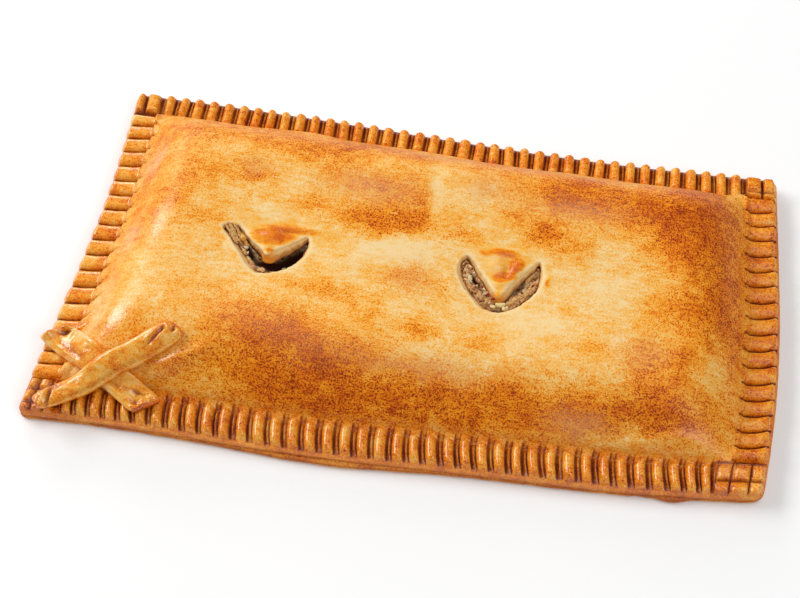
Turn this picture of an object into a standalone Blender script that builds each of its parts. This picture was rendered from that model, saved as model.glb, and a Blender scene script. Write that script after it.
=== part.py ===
"""A family-size baked empanada: a flat oblong pie of two dough sheets, crimped together all round.

Five pieces, in metres, +Z up, the long side along X and the decorated corner at -X, -Y:
base_crust    the flat bottom sheet
lid_crust     the domed top sheet, with its crimped rim and two V-shaped steam vents
filling       the layer between the sheets, which shows in the vents
strip_under   the lower of the two dough strips crossed on one corner
strip_over    the upper strip

Every piece is laid out on a true rectangle, LENGTH by DEPTH, and then warped to the four bowed
sides of the baked pie. Distances called "inset" are measured inwards from the rectangle's edge.
"""

import math

import bmesh
import bpy

# The rectangle that the pie is laid out on, and its rim.
LENGTH = 0.386
DEPTH = 0.206
RIM = 0.020
CORNER_RADIUS = 0.005

# Each side's rim and shoulder, as a share of the full width: insets are measured on this scale.
SIDE_SCALE = {"left": 0.88, "right": 0.98, "front": 0.95, "back": 0.80}

# The four corners of the baked pie, in plan, and how far each side bows between them.
FRONT_LEFT = (-0.1968, -0.1048)
FRONT_RIGHT = (0.1862, -0.0959)
BACK_RIGHT = (0.1950, 0.1036)
BACK_LEFT = (-0.1891, 0.1130)
FRONT_BOW = 0.0050
FRONT_SKEW = -0.0012
FRONT_RIPPLE = -0.0009
BACK_BOW = -0.0025
BACK_SKEW = 0.0017
LEFT_BOW = -0.0048
LEFT_SKEW = 0.0008
RIGHT_BOW = 0.0050
RIGHT_SKEW = 0.0008

# Heights above the table.
BASE_TOP = 0.0040
GAP = 0.0003
SEAM = BASE_TOP + GAP
LIP_TOP = 0.0064
GROOVE_FLOOR = 0.0070
BEAD_CREST = 0.0114
FOOT = 0.0112
DOME_TOP = 0.0335
LID_THICKNESS = 0.0040

# The bottom sheet's edge stands a little proud of the lid, most at the middle of the front.
BASE_PROUD = 0.0006
BASE_PROUD_FRONT = 0.0026
BASE_PROUD_AT = -0.030
BASE_PROUD_HALF_WIDTH = 0.075
BASE_ROUNDING = 0.0013
BASE_STEPS_LONG = 26
BASE_STEPS_SHORT = 14
BASE_CORNER_STEPS = 3

# Crimps between the corner squares: how many beads each side has.
BEADS_FRONT_BACK = 39
BEADS_LEFT = 18
BEADS_RIGHT = 17
COLUMNS_PER_BEAD = 4
BEAD_ROUNDNESS = 0.75
CORNER_SQUARES = 2

# Insets of the rows across the rim: seam, lip, bead end, mid bead, bead's inner end, dome foot.
RIM_ROWS = (0.0, 0.0008, 0.0030, 0.0100, 0.0165, RIM)
BEAD_END_FROM = 0.0004
BEAD_END_TO = 0.0030

# The dome rises from the foot over SHOULDER, then stays nearly level.
SHOULDER = 0.046
SHOULDER_POWER = 2.5
DOME_INSET = RIM + 0.0040
CEILING_INSET = RIM + 0.0020
CEILING_STEP = 0.0060
FILLING_INSET = RIM + 0.0032
FILLING_CORNER_CUT = 0.0036
FILLING_EDGE_TOP = SEAM + 0.00045
GRID_PITCH = 0.0172

# Points closer together than this are one point.
SAME_POINT = 1e-6

# Soft swellings of the dome: centre x and y, reach along x and y, height.
SWELLS = {
    "front_hump": (-0.055, -0.052, 0.075, 0.024, 0.0036),
    "front_right_hump": (0.095, -0.050, 0.050, 0.026, 0.0022),
    "back_hump": (0.005, 0.048, 0.060, 0.026, 0.0018),
    "back_right_hump": (0.115, 0.040, 0.045, 0.026, 0.0016),
    "left_swell": (-0.135, 0.020, 0.030, 0.045, 0.0012),
    "vent_dip_left": (-0.082, -0.004, 0.034, 0.024, -0.0022),
    "vent_dip_right": (0.040, -0.010, 0.036, 0.024, -0.0026),
}

# Steam vents: a slot between a bowed V and the straight-edged tongue that hangs inside it.
VENTS = {
    "left": {
        "outer": ((-0.1140, 0.0085), (-0.0895, -0.0192), (-0.0662, 0.0068)),
        "bows": (0.0005, 0.0078),
        "tongue": ((-0.1065, 0.0098), (-0.0870, -0.0062), (-0.0680, 0.0085)),
        "lean": 0.0036,
    },
    "right": {
        "outer": ((0.0165, 0.0075), (0.0388, -0.0208), (0.0608, 0.0100)),
        "bows": (0.0050, 0.0080),
        "tongue": ((0.0212, 0.0108), (0.0404, -0.0100), (0.0590, 0.0118)),
        "lean": 0.0020,
    },
}
ARM_STEPS = 4
VENT_CUT_FROM = 0.024
VENT_CUT_TO = 0.042

# Dough strips: both ends of the centre line, width and thickness.
STRIP_UNDER = {
    "start": (-0.1895, -0.0610),
    "end": (-0.1235, -0.0955),
    "width": 0.0150,
    "thickness": 0.0058,
}
STRIP_OVER = {
    "start": (-0.1835, -0.0985),
    "end": (-0.1165, -0.0590),
    "width": 0.0125,
    "thickness": 0.0074,
}
STRIP_STATIONS = 15
STRIP_SIDES = 12
STRIP_BED = 0.0012
PINCHED_END = 0.55
CUTTER_GROWTH = 0.0004
CROSSING_REACH = 0.016
BED_REACH = 0.006

# Edges sharper than these angles stay sharp in the shading.
LID_SHARP_ANGLE = math.radians(40.0)
STRIP_SHARP_ANGLE = math.radians(60.0)
FLAT_ANGLE = math.radians(0.1)

# Each piece's colour and roughness.
LID_DOUGH = {"colour": (0.78, 0.42, 0.13, 1.0), "roughness": 0.4}
BASE_DOUGH = {"colour": (0.72, 0.43, 0.18, 1.0), "roughness": 0.7}
STRIP_DOUGH = {"colour": (0.80, 0.45, 0.14, 1.0), "roughness": 0.35}
COOKED_FILLING = {"colour": (0.52, 0.42, 0.27, 1.0), "roughness": 0.6}


def lerp(a, b, t):
    return a + (b - a) * t


def between(a, b, t):
    return (lerp(a[0], b[0], t), lerp(a[1], b[1], t))


def smooth(t):
    t = min(max(t, 0.0), 1.0)
    return t * t * (3.0 - 2.0 * t)


def wave(t, bow, skew=0.0, ripple=0.0):
    turn = math.pi * t
    return bow * math.sin(turn) + skew * math.sin(2.0 * turn) + ripple * math.sin(4.0 * turn)


def front_side(s):
    x, y = between(FRONT_LEFT, FRONT_RIGHT, s)
    return x, y - wave(s, FRONT_BOW, FRONT_SKEW, FRONT_RIPPLE)


def back_side(s):
    x, y = between(BACK_LEFT, BACK_RIGHT, s)
    return x, y + wave(s, BACK_BOW, BACK_SKEW)


def left_side(t):
    x, y = between(FRONT_LEFT, BACK_LEFT, t)
    return x - wave(t, LEFT_BOW, LEFT_SKEW), y


def right_side(t):
    x, y = between(FRONT_RIGHT, BACK_RIGHT, t)
    return x + wave(t, RIGHT_BOW, RIGHT_SKEW), y


def round_corner(x, y):
    """Pulls the corner of the rectangle in to a quarter circle."""
    a = (abs(x) - (LENGTH / 2 - CORNER_RADIUS)) / CORNER_RADIUS
    b = (abs(y) - (DEPTH / 2 - CORNER_RADIUS)) / CORNER_RADIUS
    if a <= 0.0 or b <= 0.0:
        return x, y
    pull = max(a, b) / math.hypot(a, b)
    x = math.copysign(LENGTH / 2 - CORNER_RADIUS * (1.0 - a * pull), x)
    y = math.copysign(DEPTH / 2 - CORNER_RADIUS * (1.0 - b * pull), y)
    return x, y


def warp(x, y):
    """From the rectangle to the baked pie's plan: a patch between its four bowed sides."""
    x, y = round_corner(x, y)
    s = x / LENGTH + 0.5
    t = y / DEPTH + 0.5
    front, back, left, right = front_side(s), back_side(s), left_side(t), right_side(t)
    low = between(FRONT_LEFT, FRONT_RIGHT, s)
    high = between(BACK_LEFT, BACK_RIGHT, s)
    return tuple(
        lerp(front[k], back[k], t) + lerp(left[k], right[k], s) - lerp(low[k], high[k], t)
        for k in (0, 1)
    )


def insets(x, y):
    """Distances inwards from the left, right, front and back edges, each on its side's scale."""
    return (
        (LENGTH / 2 + x) / SIDE_SCALE["left"],
        (LENGTH / 2 - x) / SIDE_SCALE["right"],
        (DEPTH / 2 + y) / SIDE_SCALE["front"],
        (DEPTH / 2 - y) / SIDE_SCALE["back"],
    )


def line_at(side, inset):
    """The x or the y of the line at an inset from one side."""
    away = inset * SIDE_SCALE[side]
    return {
        "left": away - LENGTH / 2,
        "right": LENGTH / 2 - away,
        "front": away - DEPTH / 2,
        "back": DEPTH / 2 - away,
    }[side]


def rise(inset):
    t = min(max((inset - RIM) / SHOULDER, 0.0), 1.0)
    return 1.0 - (1.0 - t) ** SHOULDER_POWER


def swelling(x, y):
    return sum(
        height * math.exp(-(((x - cx) / rx) ** 2) - ((y - cy) / ry) ** 2)
        for cx, cy, rx, ry, height in SWELLS.values()
    )


def dome_height(x, y):
    level = math.prod(rise(d) for d in insets(x, y))
    return FOOT + level * (DOME_TOP - FOOT + swelling(x, y))


def bead_section(share, beads):
    """1 on a bead's crest and 0 in the groove beside it; share runs from 0 to 1 over the beads."""
    return abs(math.sin(math.pi * share * beads)) ** BEAD_ROUNDNESS


def rim_height(x, y):
    """The crimped rim: beads across it along each side, and small squares at the corners."""
    left, right, front, back = insets(x, y)
    side = min(left, right)
    end = min(front, back)
    inset = min(side, end)
    if inset <= RIM_ROWS[0]:
        return SEAM
    if inset <= RIM_ROWS[1]:
        return LIP_TOP
    if side < RIM and end < RIM:
        across = bead_section(side / RIM, CORNER_SQUARES)
        down = bead_section(end / RIM, CORNER_SQUARES)
        shape = min(across, down)
    elif end < side:
        low, high = line_at("left", RIM), line_at("right", RIM)
        shape = bead_section((x - low) / (high - low), BEADS_FRONT_BACK)
    else:
        low, high = line_at("front", RIM), line_at("back", RIM)
        beads = BEADS_LEFT if left < right else BEADS_RIGHT
        shape = bead_section((y - low) / (high - low), beads)
    grown = smooth((inset - BEAD_END_FROM) / (BEAD_END_TO - BEAD_END_FROM))
    floor = lerp(LIP_TOP, GROOVE_FLOOR, grown)
    return floor + (BEAD_CREST - GROOVE_FLOOR) * grown * shape


def lid_top(x, y):
    if min(insets(x, y)) >= RIM - SAME_POINT:
        return dome_height(x, y)
    return rim_height(x, y)


def lid_under(x, y):
    if min(insets(x, y)) <= CEILING_INSET + SAME_POINT:
        return SEAM
    return dome_height(x, y) - LID_THICKNESS


def steps(start, end, count):
    return [lerp(start, end, i / count) for i in range(count + 1)]


def patch(bm, xs, ys):
    """A flat grid with its lines at the given places."""
    made = bmesh.ops.create_grid(
        bm, x_segments=len(xs) - 1, y_segments=len(ys) - 1, size=1.0
    )
    for vert in made["verts"]:
        i = round((vert.co.x + 1.0) / 2.0 * (len(xs) - 1))
        j = round((vert.co.y + 1.0) / 2.0 * (len(ys) - 1))
        vert.co = (xs[i], ys[j], 0.0)
    return made["verts"]


def grid_lines(low_side, high_side, inset):
    """Grid lines between two sides: one at the inset, then even ones from the ceiling's first step."""
    low = line_at(low_side, CEILING_INSET + CEILING_STEP)
    high = line_at(high_side, CEILING_INSET + CEILING_STEP)
    even = steps(low, high, round((high - low) / GRID_PITCH))
    return [line_at(low_side, inset), *even, line_at(high_side, inset)]


def inner_grid(bm, inset):
    """The coarse grid under or over the dome, out to an inset."""
    xs = grid_lines("left", "right", inset)
    ys = grid_lines("front", "back", inset)
    verts = patch(bm, xs, ys)
    faces = list({face for vert in verts for face in vert.link_faces})
    faces.sort(key=lambda face: face.index)
    bmesh.ops.triangulate(bm, faces=faces, quad_method="FIXED")
    return verts


def open_edges(bm):
    return [edge for edge in bm.edges if edge.is_boundary]


def at_inset(edge, inset):
    return all(abs(min(insets(*v.co.xy)) - inset) < 10 * SAME_POINT for v in edge.verts)


def fill_between(bm, edges):
    bmesh.ops.triangle_fill(
        bm, edges=edges, use_beauty=True, use_dissolve=False, normal=(0.0, 0.0, 1.0)
    )


def rim_lines(low_side, high_side, beads):
    """The lines between two corner squares, COLUMNS_PER_BEAD to a bead."""
    low, high = line_at(low_side, RIM), line_at(high_side, RIM)
    return steps(low, high, beads * COLUMNS_PER_BEAD)


def rows_of(side):
    return [line_at(side, row) for row in RIM_ROWS]


def lid_top_sheet():
    """The lid's upper face, flat: four side strips and four corner squares round the dome grid."""
    bm = bmesh.new()
    along = rim_lines("left", "right", BEADS_FRONT_BACK)
    for end in ("front", "back"):
        ys = sorted(rows_of(end))
        patch(bm, along, ys)
        for side in ("left", "right"):
            patch(bm, sorted(rows_of(side)), ys)
    for side, beads in (("left", BEADS_LEFT), ("right", BEADS_RIGHT)):
        patch(bm, sorted(rows_of(side)), rim_lines("front", "back", beads))
    bmesh.ops.remove_doubles(bm, verts=bm.verts, dist=SAME_POINT)
    inner_grid(bm, DOME_INSET)
    ring = [e for e in open_edges(bm) if not at_inset(e, 0.0)]
    fill_between(bm, ring)
    return bm


def lid_under_sheet(rim_edge):
    """The lid's lower face, flat: the seam out to the rim's edge, round the ceiling grid."""
    bm = bmesh.new()
    corners = [bm.verts.new((x, y, 0.0)) for x, y in rim_edge]
    for a, b in zip(corners, corners[1:] + corners[:1]):
        bm.edges.new((a, b))
    inner_grid(bm, CEILING_INSET)
    ring = [e for e in bm.edges if e.is_boundary or e.is_wire]
    fill_between(bm, ring)
    return bm


def edge_lines(low_side, high_side, beads):
    low = [line_at(low_side, row) for row in RIM_ROWS[:-1]]
    high = [line_at(high_side, row) for row in reversed(RIM_ROWS[:-1])]
    return low + rim_lines(low_side, high_side, beads) + high


def loop_round(front_xs, right_ys, back_xs, left_ys):
    """Points round the rectangle's edge, counter-clockwise from the front left corner."""
    half_x, half_y = LENGTH / 2, DEPTH / 2
    points = [(x, -half_y) for x in front_xs[:-1]]
    points += [(half_x, y) for y in right_ys[:-1]]
    points += [(x, half_y) for x in reversed(back_xs[1:])]
    points += [(-half_x, y) for y in reversed(left_ys[1:])]
    return points


def rim_edge_points():
    """The rectangle's edge in order, with a point at each line of the rim strips."""
    xs = edge_lines("left", "right", BEADS_FRONT_BACK)
    right = edge_lines("front", "back", BEADS_RIGHT)
    left = edge_lines("front", "back", BEADS_LEFT)
    return loop_round(xs, right, xs, left)


def shape_sheet(bm, height):
    """Lifts a flat sheet to its heights, then warps it to the pie's plan."""
    for vert in bm.verts:
        x, y = vert.co.xy
        z = height(x, y)
        vert.co = (*warp(x, y), z)


def sheet_mesh(name, sheets):
    """One closed mesh from sheets that share their edges."""
    whole = bmesh.new()
    for sheet in sheets:
        part = bpy.data.meshes.new("sheet")
        sheet.to_mesh(part)
        sheet.free()
        whole.from_mesh(part)
        bpy.data.meshes.remove(part)
    bmesh.ops.remove_doubles(whole, verts=whole.verts, dist=SAME_POINT)
    bmesh.ops.recalc_face_normals(whole, faces=whole.faces)
    bmesh.ops.triangulate(whole, faces=whole.faces)
    mesh = bpy.data.meshes.new(name)
    whole.to_mesh(mesh)
    whole.free()
    return mesh


def dough_material(name, finish):
    material = bpy.data.materials.new(name)
    material.use_nodes = True
    shader = material.node_tree.nodes["Principled BSDF"]
    shader.inputs["Base Color"].default_value = finish["colour"]
    shader.inputs["Roughness"].default_value = finish["roughness"]
    shader.inputs["Metallic"].default_value = 0.0
    return material


def add_object(name, mesh, collection, material=None):
    made = bpy.data.objects.new(name, mesh)
    collection.objects.link(made)
    if material:
        mesh.materials.append(material)
    return made


def add_cutter(name, mesh, collection):
    cutter = add_object(name, mesh, collection)
    cutter.hide_render = True
    cutter.display_type = "WIRE"
    return cutter


def cut(target, cutter):
    boolean = target.modifiers.new("cut_" + cutter.name, "BOOLEAN")
    boolean.operation = "DIFFERENCE"
    boolean.solver = "EXACT"
    boolean.object = cutter


def smooth_shading(mesh, sharp_angle):
    mesh.shade_smooth()
    mesh.set_sharp_from_angle(angle=sharp_angle)


def base_outline():
    """The bottom sheet's outline: just outside the lid's edge, more so at the middle of the front."""
    half_x, half_y = LENGTH / 2, DEPTH / 2
    xs = steps(-half_x, half_x, BASE_STEPS_LONG)
    ys = steps(-half_y, half_y, BASE_STEPS_SHORT)
    arc = steps(0.0, CORNER_RADIUS, BASE_CORNER_STEPS)[1:-1]
    xs = sorted(xs + [half_x - a for a in arc] + [a - half_x for a in arc])
    ys = sorted(ys + [half_y - a for a in arc] + [a - half_y for a in arc])
    loop = loop_round(xs, ys, xs, ys)
    return [warp(x, y - front_bulge(x, y)) for x, y in loop]


def front_bulge(x, y):
    """How much further than the rest the bottom sheet comes out along the middle of the front."""
    if y > 0.0:
        return 0.0
    reach = abs(x - BASE_PROUD_AT) / BASE_PROUD_HALF_WIDTH
    return (BASE_PROUD_FRONT - BASE_PROUD) * smooth(1.0 - reach)


def offset_outline(points, distance):
    """Moves each point of a closed counter-clockwise outline outwards along its corner's normal."""
    moved = []
    for i, (x, y) in enumerate(points):
        ax, ay = points[i - 1]
        bx, by = points[(i + 1) % len(points)]
        dx, dy = bx - ax, by - ay
        size = math.hypot(dx, dy)
        moved.append((x + distance * dy / size, y - distance * dx / size))
    return moved


def make_base(collection):
    bm = bmesh.new()
    outline = offset_outline(base_outline(), BASE_PROUD)
    face = bm.faces.new([bm.verts.new((x, y, 0.0)) for x, y in outline])
    bmesh.ops.recalc_face_normals(bm, faces=[face])
    mesh = bpy.data.meshes.new("base_crust")
    bm.to_mesh(mesh)
    bm.free()
    material = dough_material("base_dough", BASE_DOUGH)
    base = add_object("base_crust", mesh, collection, material)
    solid = base.modifiers.new("sheet", "SOLIDIFY")
    solid.thickness = BASE_TOP
    solid.offset = 1.0 if mesh.polygons[0].normal.z > 0.0 else -1.0
    rounding = base.modifiers.new("rounded_edge", "BEVEL")
    rounding.width = BASE_ROUNDING
    rounding.segments = 2
    rounding.limit_method = "ANGLE"
    rounding.angle_limit = math.radians(60.0)
    return base


def bowed_arm(start, end, bow):
    """Points from start up to, but not including, end, bowed out to the right of the way."""
    dx, dy = end[0] - start[0], end[1] - start[1]
    length = math.hypot(dx, dy)
    points = []
    for i in range(ARM_STEPS):
        t = i / ARM_STEPS
        x, y = between(start, end, t)
        out = bow * math.sin(math.pi * t)
        points.append((x + out * dy / length, y - out * dx / length))
    return points


def vent_outline(vent, lean):
    """The slot's outline: along the bowed V, then back along the tongue, leaning out by lean."""
    left, apex, right = vent["outer"]
    tongue_left, tip, tongue_right = vent["tongue"]
    outline = bowed_arm(left, apex, vent["bows"][0]) + bowed_arm(apex, right, vent["bows"][1])
    outline.append(right)
    tongue = bowed_arm(tongue_right, tip, 0.0) + bowed_arm(tip, tongue_left, 0.0)
    for i, (x, y) in enumerate(tongue):
        towards_tip = 1.0 - abs(2 * i / len(tongue) - 1.0)
        outline.append((x, y - lean * towards_tip))
    outline.append(tongue_left)
    return [warp(x, y) for x, y in outline]


def make_vent_cutter(name, vent, cutters):
    """The slot's two outlines, below and above the lid, joined up."""
    bm = bmesh.new()
    rings = []
    for z, lean in ((VENT_CUT_FROM, vent["lean"]), (VENT_CUT_TO, -vent["lean"])):
        ring = [bm.verts.new((x, y, z)) for x, y in vent_outline(vent, lean)]
        bm.faces.new(ring)
        rings.append(ring)
    low, high = rings
    for i in range(len(low)):
        bm.faces.new((low[i - 1], low[i], high[i], high[i - 1]))
    bmesh.ops.recalc_face_normals(bm, faces=bm.faces)
    mesh = bpy.data.meshes.new("vent_" + name)
    bm.to_mesh(mesh)
    bm.free()
    return add_cutter("vent_" + name, mesh, cutters)


def make_lid(collection, cutters):
    top = lid_top_sheet()
    under = lid_under_sheet(rim_edge_points())
    shape_sheet(top, lid_top)
    shape_sheet(under, lid_under)
    mesh = sheet_mesh("lid_crust", (top, under))
    smooth_shading(mesh, LID_SHARP_ANGLE)
    lid = add_object("lid_crust", mesh, collection, dough_material("lid_dough", LID_DOUGH))
    for name, vent in VENTS.items():
        cut(lid, make_vent_cutter(name, vent, cutters))
    return lid


def cut_corners(verts):
    """Draws in a grid's four corner points, where the lid's ceiling is lowest."""
    for vert in verts:
        x, y = vert.co.xy
        if max(min(insets(x, y)[:2]), min(insets(x, y)[2:])) < FILLING_INSET + SAME_POINT:
            vert.co.x -= math.copysign(FILLING_CORNER_CUT, x)
            vert.co.y -= math.copysign(FILLING_CORNER_CUT, y)


def make_filling(collection):
    """Fills the space between the sheets, with the gap all round."""
    sheets = []
    for height in (filling_top, lambda x, y: SEAM):
        bm = bmesh.new()
        cut_corners(inner_grid(bm, FILLING_INSET))
        shape_sheet(bm, height)
        sheets.append(bm)
    mesh = sheet_mesh("filling", sheets)
    bm = bmesh.new()
    bm.from_mesh(mesh)
    bmesh.ops.bridge_loops(bm, edges=open_edges(bm))
    bmesh.ops.recalc_face_normals(bm, faces=bm.faces)
    bmesh.ops.dissolve_limit(
        bm, angle_limit=FLAT_ANGLE, verts=bm.verts, edges=bm.edges
    )
    bm.to_mesh(mesh)
    bm.free()
    material = dough_material("cooked_filling", COOKED_FILLING)
    return add_object("filling", mesh, collection, material)


def filling_top(x, y):
    if min(insets(x, y)) <= FILLING_INSET + FILLING_CORNER_CUT + SAME_POINT:
        return FILLING_EDGE_TOP
    return lid_under(x, y) - GAP


def covered_height(x, y):
    """The lid's height with its grooves filled: what a strip lies on."""
    if min(insets(x, y)) >= RIM:
        return dome_height(x, y)
    return BEAD_CREST


def bed_height(x, y):
    """The covered height evened out, as a strip of dough bridges small hollows."""
    around = [(0.0, 0.0), (1.0, 0.0), (-1.0, 0.0), (0.0, 1.0), (0.0, -1.0)]
    heights = [covered_height(x + a * BED_REACH, y + b * BED_REACH) for a, b in around]
    return sum(heights) / len(heights)


def evaluated_copy(source, name):
    depsgraph = bpy.context.evaluated_depsgraph_get()
    depsgraph.update()
    mesh = bpy.data.meshes.new_from_object(source.evaluated_get(depsgraph))
    mesh.name = name
    return mesh


def fattened_cutter(source, cutters):
    """A copy of a piece, grown by the gap, that cuts what lies on the piece."""
    mesh = evaluated_copy(source, source.name + "_grown")
    bm = bmesh.new()
    bm.from_mesh(mesh)
    bm.normal_update()
    bmesh.ops.triangulate(bm, faces=bm.faces)
    for vert in bm.verts:
        vert.co += vert.normal * CUTTER_GROWTH
    bm.to_mesh(mesh)
    bm.free()
    return add_cutter(mesh.name, mesh, cutters)


def crossing_lift(point, other):
    """How far a strip is lifted where it passes over the other one."""
    ax, ay = other["start"]
    bx, by = other["end"]
    length = math.hypot(bx - ax, by - ay)
    along = ((point[0] - ax) * (bx - ax) + (point[1] - ay) * (by - ay)) / length
    away = abs((point[0] - ax) * (by - ay) - (point[1] - ay) * (bx - ax)) / length
    if along < 0.0 or along > length:
        return 0.0
    return other["thickness"] * smooth(1.0 - away / CROSSING_REACH)


def make_strip(name, strip, collection, lies_on, over=None):
    """A rolled strip: rounded sections along its centre line, bedded into what it lies on."""
    start, end = strip["start"], strip["end"]
    length = math.hypot(end[0] - start[0], end[1] - start[1])
    side_x = -(end[1] - start[1]) / length
    side_y = (end[0] - start[0]) / length
    bm = bmesh.new()
    rings = []
    for i in range(STRIP_STATIONS):
        t = i / (STRIP_STATIONS - 1)
        x, y = between(start, end, t)
        lift = crossing_lift((x, y), over) if over else 0.0
        ends = min(t, 1.0 - t) * (STRIP_STATIONS - 1)
        taper = lerp(PINCHED_END, 1.0, smooth(ends / 2.0))
        ring = []
        for k in range(STRIP_SIDES):
            angle = 2.0 * math.pi * k / STRIP_SIDES
            out = math.cos(angle) * strip["width"] / 2 * taper
            up = (math.sin(angle) + 1.0) / 2 * (strip["thickness"] + STRIP_BED) * taper
            px, py = x + side_x * out, y + side_y * out
            bed = bed_height(px, py) - STRIP_BED + lift
            ring.append(bm.verts.new((*warp(px, py), bed + up)))
        rings.append(ring)
    for a, b in zip(rings, rings[1:]):
        for k in range(STRIP_SIDES):
            n = (k + 1) % STRIP_SIDES
            bm.faces.new((a[k], a[n], b[n], b[k]))
    bm.faces.new(rings[0])
    bm.faces.new(rings[-1])
    bmesh.ops.triangulate(bm, faces=bm.faces)
    bmesh.ops.recalc_face_normals(bm, faces=bm.faces)
    mesh = bpy.data.meshes.new(name)
    bm.to_mesh(mesh)
    bm.free()
    smooth_shading(mesh, STRIP_SHARP_ANGLE)
    material = dough_material(name + "_dough", STRIP_DOUGH)
    made = add_object(name, mesh, collection, material)
    for cutter in lies_on:
        cut(made, cutter)
    return made


def plan_centre(base):
    """The middle of the bottom sheet, which is the widest piece."""
    depsgraph = bpy.context.evaluated_depsgraph_get()
    depsgraph.update()
    corners = base.evaluated_get(depsgraph).bound_box
    xs = [corner[0] for corner in corners]
    ys = [corner[1] for corner in corners]
    return (min(xs) + max(xs)) / 2, (min(ys) + max(ys)) / 2


def main():
    for old in list(bpy.data.objects):
        bpy.data.objects.remove(old, do_unlink=True)
    pie = bpy.data.collections.new("empanada")
    cutters = bpy.data.collections.new("cutters")
    for collection in (pie, cutters):
        bpy.context.scene.collection.children.link(collection)
    base = make_base(pie)
    lid = make_lid(pie, cutters)
    filling = make_filling(pie)
    lid_cutter = fattened_cutter(lid, cutters)
    under = make_strip("strip_under", STRIP_UNDER, pie, [lid_cutter])
    under_cutter = fattened_cutter(under, cutters)
    over = make_strip(
        "strip_over", STRIP_OVER, pie, [lid_cutter, under_cutter], over=STRIP_UNDER
    )
    x, y = plan_centre(base)
    for piece in (base, lid, filling, under, over, *cutters.objects):
        piece.location = (-x, -y, 0.0)


main()
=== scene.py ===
import math

import bmesh
import bpy
import numpy as np
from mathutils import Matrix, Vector
from mathutils.geometry import delaunay_2d_cdt


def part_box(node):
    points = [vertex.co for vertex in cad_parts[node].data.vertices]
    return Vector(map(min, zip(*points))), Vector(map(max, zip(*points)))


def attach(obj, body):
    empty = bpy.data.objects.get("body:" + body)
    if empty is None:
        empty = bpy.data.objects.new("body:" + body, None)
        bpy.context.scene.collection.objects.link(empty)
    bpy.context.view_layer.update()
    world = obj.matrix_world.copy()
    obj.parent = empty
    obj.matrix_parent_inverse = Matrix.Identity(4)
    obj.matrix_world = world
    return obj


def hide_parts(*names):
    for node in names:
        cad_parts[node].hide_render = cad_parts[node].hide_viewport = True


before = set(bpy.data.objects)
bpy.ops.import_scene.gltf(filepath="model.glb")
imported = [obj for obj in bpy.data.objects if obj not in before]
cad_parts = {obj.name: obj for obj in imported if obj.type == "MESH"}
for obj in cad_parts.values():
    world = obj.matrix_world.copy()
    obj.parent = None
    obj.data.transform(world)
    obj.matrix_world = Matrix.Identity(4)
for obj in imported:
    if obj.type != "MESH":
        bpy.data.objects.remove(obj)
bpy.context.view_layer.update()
mm = 0.001
samePoint = 2e-7  # points of the layout nearer than this are one
longSides = ("front", "back")
endSides = ("left", "right")
print("frame loaded:", ", ".join(sorted(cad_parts)))

# The pie is laid out on a true rectangle, then warped to the four bowed sides of the baked one.
# An inset is a distance inwards from a side, on that side's own scale.
layout = {
    "length": 386 * mm,
    "depth": 206 * mm,
    "rim": 20 * mm,
    "cornerRadius": 5 * mm,
    "sideScale": {"left": 0.88, "right": 0.98, "front": 0.95, "back": 0.80},
    "frontLeft": (-196.8 * mm, -104.8 * mm),
    "frontRight": (186.2 * mm, -95.9 * mm),
    "backRight": (195.0 * mm, 103.6 * mm),
    "backLeft": (-189.1 * mm, 113.0 * mm),
    "waves": {  # bow, skew and ripple of each side
        "front": (5.0 * mm, -1.2 * mm, -0.9 * mm),
        "back": (-2.5 * mm, 1.7 * mm, 0.0),
        "left": (-4.8 * mm, 0.8 * mm, 0.0),
        "right": (5.0 * mm, 0.8 * mm, 0.0),
    },
}
heights = {
    "baseTop": 4.0 * mm,
    "seam": 4.3 * mm,
    "lip": 6.2 * mm,
    "groove": 6.9 * mm,
    "crest": 11.4 * mm,
    "foot": 11.2 * mm,
    "domeTop": 33.5 * mm,
    "lidThickness": 4.6 * mm,
}
halfLength = layout["length"] / 2
halfDepth = layout["depth"] / 2
rimWidth = layout["rim"]
fieldCells = 64  # how many lumps across a random field is before it repeats
fieldStart = (31.7, 17.3)  # where in it the pie's middle lies, in lumps


def lerp(a, b, t):
    return a + (b - a) * t


def smooth(t):
    t = np.clip(t, 0.0, 1.0)
    return t * t * (3.0 - 2.0 * t)


def easeIn(value, start, over):
    # 0 up to start, then smoothly up to 1
    return smooth((value - start) / over)


def bell(t):
    return np.exp(-t * t)


def unevenness(x, y, size, seed):
    # smooth random field from -1 to 1, its lumps about size across
    cells = np.random.default_rng(seed).uniform(-1.0, 1.0, (fieldCells, fieldCells))
    u, v = np.asarray(x) / size + fieldStart[0], np.asarray(y) / size + fieldStart[1]
    i, j = np.floor(u).astype(int), np.floor(v).astype(int)
    fu, fv = smooth(u - i), smooth(v - j)
    i, j = i % fieldCells, j % fieldCells
    nextI, nextJ = (i + 1) % fieldCells, (j + 1) % fieldCells
    low = lerp(cells[i, j], cells[nextI, j], fu)
    high = lerp(cells[i, nextJ], cells[nextI, nextJ], fu)
    return lerp(low, high, fv)


def lumpsOf(layers, x, y, seed=0):
    # random fields laid over each other, each: size of its lumps, strength, seed
    return sum(strength * unevenness(x, y, size, seed + own) for size, strength, own in layers)


def sumOfPatches(patches, x, y, edge=None):
    # soft round patches in mm: centre, reach, turn in degrees, amount
    # edge gives them a clear outline: the level it starts at, and how soft it is
    total = np.zeros(np.shape(x))
    for cx, cy, rx, ry, turn, amount in patches.values():
        c, s = math.cos(math.radians(turn)), math.sin(math.radians(turn))
        u = ((x - cx * mm) * c + (y - cy * mm) * s) / (rx * mm)
        v = ((y - cy * mm) * c - (x - cx * mm) * s) / (ry * mm)
        patch = np.exp(-u * u - v * v)
        total += amount * (easeIn(patch, *edge) if edge else patch)
    return total


def sideWave(side, t):
    bow, skew, ripple = layout["waves"][side]
    turn = np.pi * t
    return bow * np.sin(turn) + skew * np.sin(2.0 * turn) + ripple * np.sin(4.0 * turn)


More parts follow.
